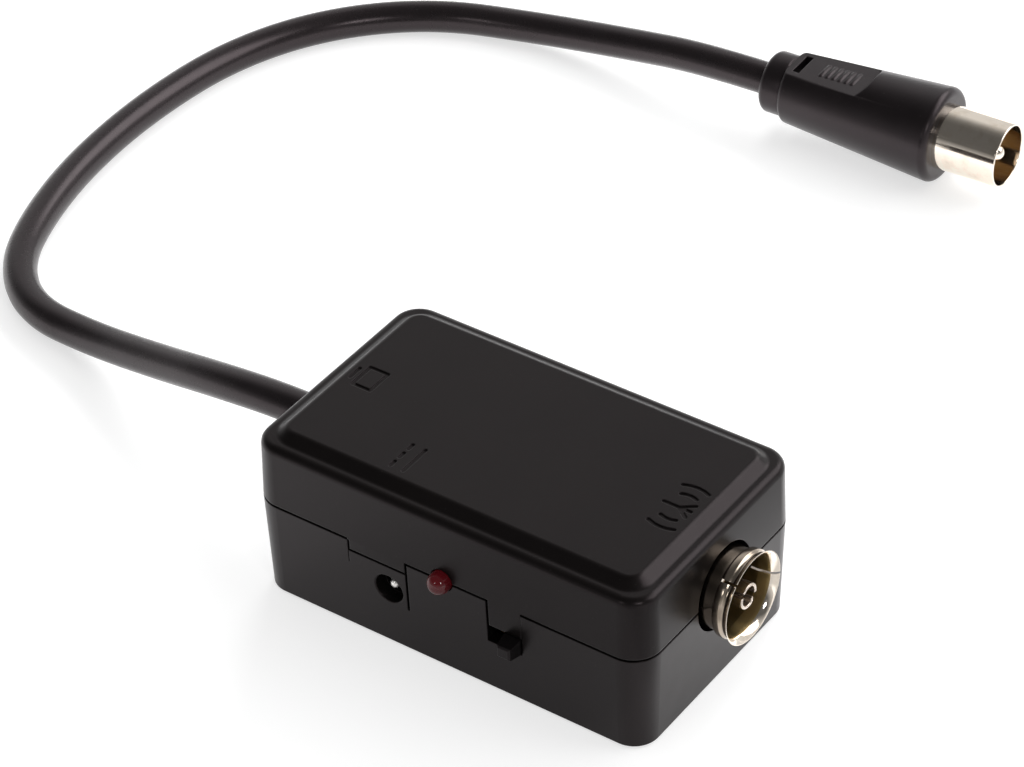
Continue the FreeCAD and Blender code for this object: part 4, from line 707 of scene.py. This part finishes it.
def draw_socket_shell(finish, shaded_lining_finish, painted_reflection_skin_finish):
    """The drawn sheet shell: thin flared lip, groove and bead, and two slits from the mouth. Back from the
    lip, its inside takes painted shade and its outside a darker tone painted for the dark surroundings it
    mirrors.
    """
    shape = bmesh.new()

    def row_at(place):
        """The first row of the wall at or past a place along x."""
        return next(row for row, (x, radius) in enumerate(SOCKET_OUTSIDE) if x >= place)

    slit_rows = {SOCKET_COLUMNS: row_at(BEAD_START), 2 * SOCKET_COLUMNS + 1: row_at(SLIT_ROOT)}

    def ring(x, radius):
        """Points round the wall at one place, with both sides of each slit."""
        edge = math.degrees(math.asin(HALF_SLIT / radius))
        points = []
        for start, span in ((0, SECOND_SLIT_AFTER), (SECOND_SLIT_AFTER, 360 - SECOND_SLIT_AFTER)):
            for step in range(SOCKET_COLUMNS + 1):
                share = (span - 2 * edge) * step / SOCKET_COLUMNS
                turn = math.radians(FIRST_SLIT_TURN + start + edge + share)
                y, z = SOCKET_Y + radius * math.cos(turn), SOCKET_Z + radius * math.sin(turn)
                points.append(shape.verts.new((x, y, z)))
        return points

    outside = [ring(x, radius) for x, radius in SOCKET_OUTSIDE]
    inside = [ring(x, radius) for x, radius in SOCKET_INSIDE]
    count, last = len(outside[0]), len(outside) - 1
    shaded_lining_slot, painted_reflection_skin_slot, bright_skin, bright_lining = 1, 2, 32.7, 32.2
    for column in range(count):
        after = (column + 1) % count
        slit_row = slit_rows.get(column, last)
        for row in range(slit_row):
            # Skin behind the bright lip takes the tone painted for dark reflections.
            skin = shape.faces.new((outside[row][column], outside[row + 1][column], outside[row + 1][after],
                                    outside[row][after]))
            skin.material_index = painted_reflection_skin_slot if SOCKET_OUTSIDE[row + 1][0] < bright_skin else 0
            # Lining back from the lip takes the painted shade.
            lining = shape.faces.new((inside[row][column], inside[row][after], inside[row + 1][after],
                                      inside[row + 1][column]))
            lining.material_index = shaded_lining_slot if SOCKET_INSIDE[row + 1][0] < bright_lining else 0
        shape.faces.new((outside[0][column], outside[0][after], inside[0][after], inside[0][column]))
        shape.faces.new((outside[slit_row][column], inside[slit_row][column], inside[slit_row][after],
                         outside[slit_row][after]))
        for edge in (column, after):
            for row in range(slit_row, last):
                shape.faces.new((outside[row][edge], outside[row + 1][edge], inside[row + 1][edge],
                                 inside[row][edge]))
    size, tab_end, tab_root = 1.2, 1.9, 9.5
    for tab_x in (19.5, 24.3):
        block(shape, (tab_x, SOCKET_Y - size, tab_end), (tab_x + size, SOCKET_Y + size, tab_root))
    bmesh.ops.recalc_face_normals(shape, faces=shape.faces)
    shell = finished_piece("aerial_socket_shell", shape, finish, ["socket_shell"], 40)
    shell.data.materials.append(shaded_lining_finish)
    shell.data.materials.append(painted_reflection_skin_finish)


def add_strip(shape, path, sheet, back, front):
    """Sheet bent along a path of (y, z) points, drawn from one x to another."""
    sides = ([], [])
    for index, (y, z) in enumerate(path):
        before, after = path[max(index - 1, 0)], path[min(index + 1, len(path) - 1)]
        way = Vector((after[0] - before[0], after[1] - before[1])).normalized()
        for side, sign in zip(sides, (1, -1)):
            side.append((y - sign * way.y * sheet / 2, z + sign * way.x * sheet / 2))
    draw_out(shape, sides[0] + sides[1][::-1], back, front, along_x=True)


def roll_centre_contact(finish):
    """The socket's grip: two rolled leaves, the lower one curled in, on a tube with its tail."""
    low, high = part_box("socket_centre_contact")
    back, mouth = low[0] / MM, high[0] / MM
    radius, sheet, leaf = 1.725, 0.42, 6.5
    curl, curl_turn, tail_half = 0.5, 286, 0.9
    middle, root = radius - sheet / 2, mouth - leaf
    shape = bmesh.new()
    curl_y = SOCKET_Y + (middle - curl) * math.cos(math.radians(curl_turn))
    curl_z = SOCKET_Z + (middle - curl) * math.sin(math.radians(curl_turn))
    upper = arc(SOCKET_Y, SOCKET_Z, middle, -14, 136, 24)
    lower = arc(SOCKET_Y, SOCKET_Z, middle, 158, curl_turn, 20)
    lower += arc(curl_y, curl_z, curl, curl_turn, 392, 9)[1:]
    for path in (upper, lower):
        add_strip(shape, path, sheet, root, mouth)
    bmesh.ops.recalc_face_normals(shape, faces=shape.faces)
    round_edges(shape, lambda edge: all(vert.co.x > mouth - 0.001 for vert in edge.verts), 0.12, 3)
    rings = []
    for x, size in ((back, radius), (root, radius), (root, radius - sheet), (back, radius - sheet)):
        circle = arc(SOCKET_Y, SOCKET_Z, size, 0, 350, 35)
        rings.append([shape.verts.new((x, y, z)) for y, z in circle])
    for near, far in zip(rings, rings[1:] + rings[:1]):
        for index in range(len(near)):
            after = (index + 1) % len(near)
            shape.faces.new((near[index], near[after], far[after], far[index]))
    block(shape, (back, SOCKET_Y - tail_half, low[2] / MM), (back + sheet, SOCKET_Y + tail_half, SOCKET_Z))
    bmesh.ops.recalc_face_normals(shape, faces=shape.faces)
    finished_piece("aerial_centre_contact", shape, finish, ["socket_centre_contact"], 50)


def dress(finishes):
    """Makes the pieces that stand for solids."""
    dress_upper_shell(finishes["upper_plastic"])
    moulding = dress_plug_body(finishes["plug_moulding"])
    metal = turn_plug_metal(finishes["nickel_plate"])
    lay_lead(finishes["lead_jacket"])
    turn_lamp(finishes["red_lens"])
    turn_jack_pin(finishes["tinned_pin"])
    draw_socket_shell(finishes["nickel_plate"], finishes["shade_painted_nickel"], finishes["dark_mirror_painted_nickel"])
    roll_centre_contact(finishes["rolled_nickel"])


# Studio

BOX_END = 38 * MM
PART_MIDDLE = (-0.03, 0.04, 0.01)
LAMP_LENS = (0, -0.017, 0.0145)
FLOOR_HALF = 3.0
FLOOR_DROP = 0.02 * MM
FLOOR_GLOW = 0.61


def lay_floor():
    """A wide pale floor that reads as the white ground and keeps the soft shadows; pieces mirror painted
    light on it that changes with place.
    """
    mesh = bpy.data.meshes.new("floor")
    shape = bmesh.new()
    bmesh.ops.create_grid(shape, x_segments=1, y_segments=1, size=FLOOR_HALF)
    shape.to_mesh(mesh)
    shape.free()
    floor = bpy.data.objects.new("floor", mesh)
    floor.location.z = -FLOOR_DROP
    bpy.context.scene.collection.objects.link(floor)
    material, tree, shader = new_material("pale floor")
    shader.inputs["Base Color"].default_value = (0.5, 0.5, 0.5, 1)
    shader.inputs["Roughness"].default_value = 0.9
    shader.inputs["Specular IOR Level"].default_value = 0.0
    path = put(tree, "LightPath")
    place = put(tree, "SeparateXYZ")
    tree.links.new(put(tree, "TexCoord").outputs["Object"], place.inputs[0])
    along = maths(tree, "ADD", maths(tree, "MULTIPLY", place.outputs["X"], 0.7),
                  maths(tree, "MULTIPLY", place.outputs["Y"], 0.7))
    # Painted light, seen only in reflections: how bright the ground looks where a piece mirrors it, painted
    # by place: by the socket, far right, behind and far left
    near = maths(tree, "ADD",
                 spread(tree, place.outputs["X"], BOX_END, BOX_END + 5 * MM, 1.0, 0.1),
                 spread(tree, place.outputs["X"], 75 * MM, 110 * MM, 0.0, 0.5))
    reach = spread(tree, place.outputs["Y"], 60 * MM, 85 * MM, 1.1, 0.72)
    painted_mirror_light = maths(tree, "ADD", maths(tree, "MULTIPLY", near, spread(tree, along, 0.0, 0.035, 0.3, reach)),
                spread(tree, place.outputs["X"], -5 * MM, -45 * MM, 0.0, 0.4))
    straight = seen_straight(tree, path)
    glow = maths(tree, "MAXIMUM", maths(tree, "MULTIPLY", straight, FLOOR_GLOW),
                 maths(tree, "MULTIPLY", path.outputs["Is Glossy Ray"], painted_mirror_light))
    shader.inputs["Emission Color"].default_value = (1, 1, 1, 1)
    tree.links.new(glow, shader.inputs["Emission Strength"])
    mesh.materials.append(material)


def light_world():
    """White all round to the camera; mirrored, the back stays bright and the front fades upwards."""
    world = bpy.data.worlds.new("studio")
    world.use_nodes = True
    bpy.context.scene.world = world
    tree = world.node_tree
    ground = tree.nodes["Background"]
    path = put(tree, "LightPath")
    height = put(tree, "SeparateXYZ")
    tree.links.new(put(tree, "TexCoord").outputs["Generated"], height.inputs[0])
    behind = spread(tree, height.outputs["Z"], 0.7, 0.95, 0.74, 0.16)
    before = spread(tree, height.outputs["Z"], 0.05, 0.4, 0.6, 0.1)
    facing_back = spread(tree, height.outputs["Y"], -0.1, 0.45)
    mirrored = maths(tree, "ADD", maths(tree, "MULTIPLY", behind, facing_back),
                     maths(tree, "MULTIPLY", before, maths(tree, "SUBTRACT", 1.0, facing_back)))
    straight = seen_straight(tree, path)
    glossy = maths(tree, "MULTIPLY", path.outputs["Is Glossy Ray"], mirrored)
    seen = maths(tree, "MAXIMUM", path.outputs["Is Glossy Ray"], straight)
    soft = spread(tree, seen, 0, 1, 0.45, 0.0)
    total = maths(tree, "ADD", maths(tree, "MAXIMUM", straight, glossy), soft)
    ground.inputs["Color"].default_value = (1, 1, 1, 1)
    tree.links.new(total, ground.inputs["Strength"])


def soft_lamp(name, place, aim, width, height, power, mirrored=True):
    """A soft box at a place, aimed at a point; one that isn't mirrored shows in no reflection."""
    lamp = bpy.data.lights.new(name, "AREA")
    lamp.shape = "RECTANGLE"
    lamp.size = width
    lamp.size_y = height
    lamp.energy = power
    holder = bpy.data.objects.new(name, lamp)
    holder.location = place
    holder.rotation_euler = (Vector(place) - Vector(aim)).to_track_quat("Z", "Y").to_euler()
    holder.visible_glossy = mirrored
    bpy.context.scene.collection.objects.link(holder)


set_camera()
bpy.context.scene.view_settings.view_transform = "Standard"
finishes = make_finishes()
finish_nodes(finishes)
dress(finishes)
lay_floor()
light_world()
soft_lamp("right back lamp", (0.40, 0.55, 0.60), PART_MIDDLE, 1.0, 0.55, 5.2)
soft_lamp("back key", (-0.28, 0.80, 0.52), PART_MIDDLE, 0.4, 0.4, 6.5, mirrored=False)
soft_lamp("front glint", (0.415, -0.273, 0.363), LAMP_LENS, 0.10, 0.10, 0.44)
soft_lamp("left glint", (-0.075, -0.528, 0.32), LAMP_LENS, 0.10, 0.10, 0.19)
soft_lamp("overhead fill", (-0.1, 0.1, 1.0), (0, 0.05, 0), 0.8, 0.8, 1.5, mirrored=False)
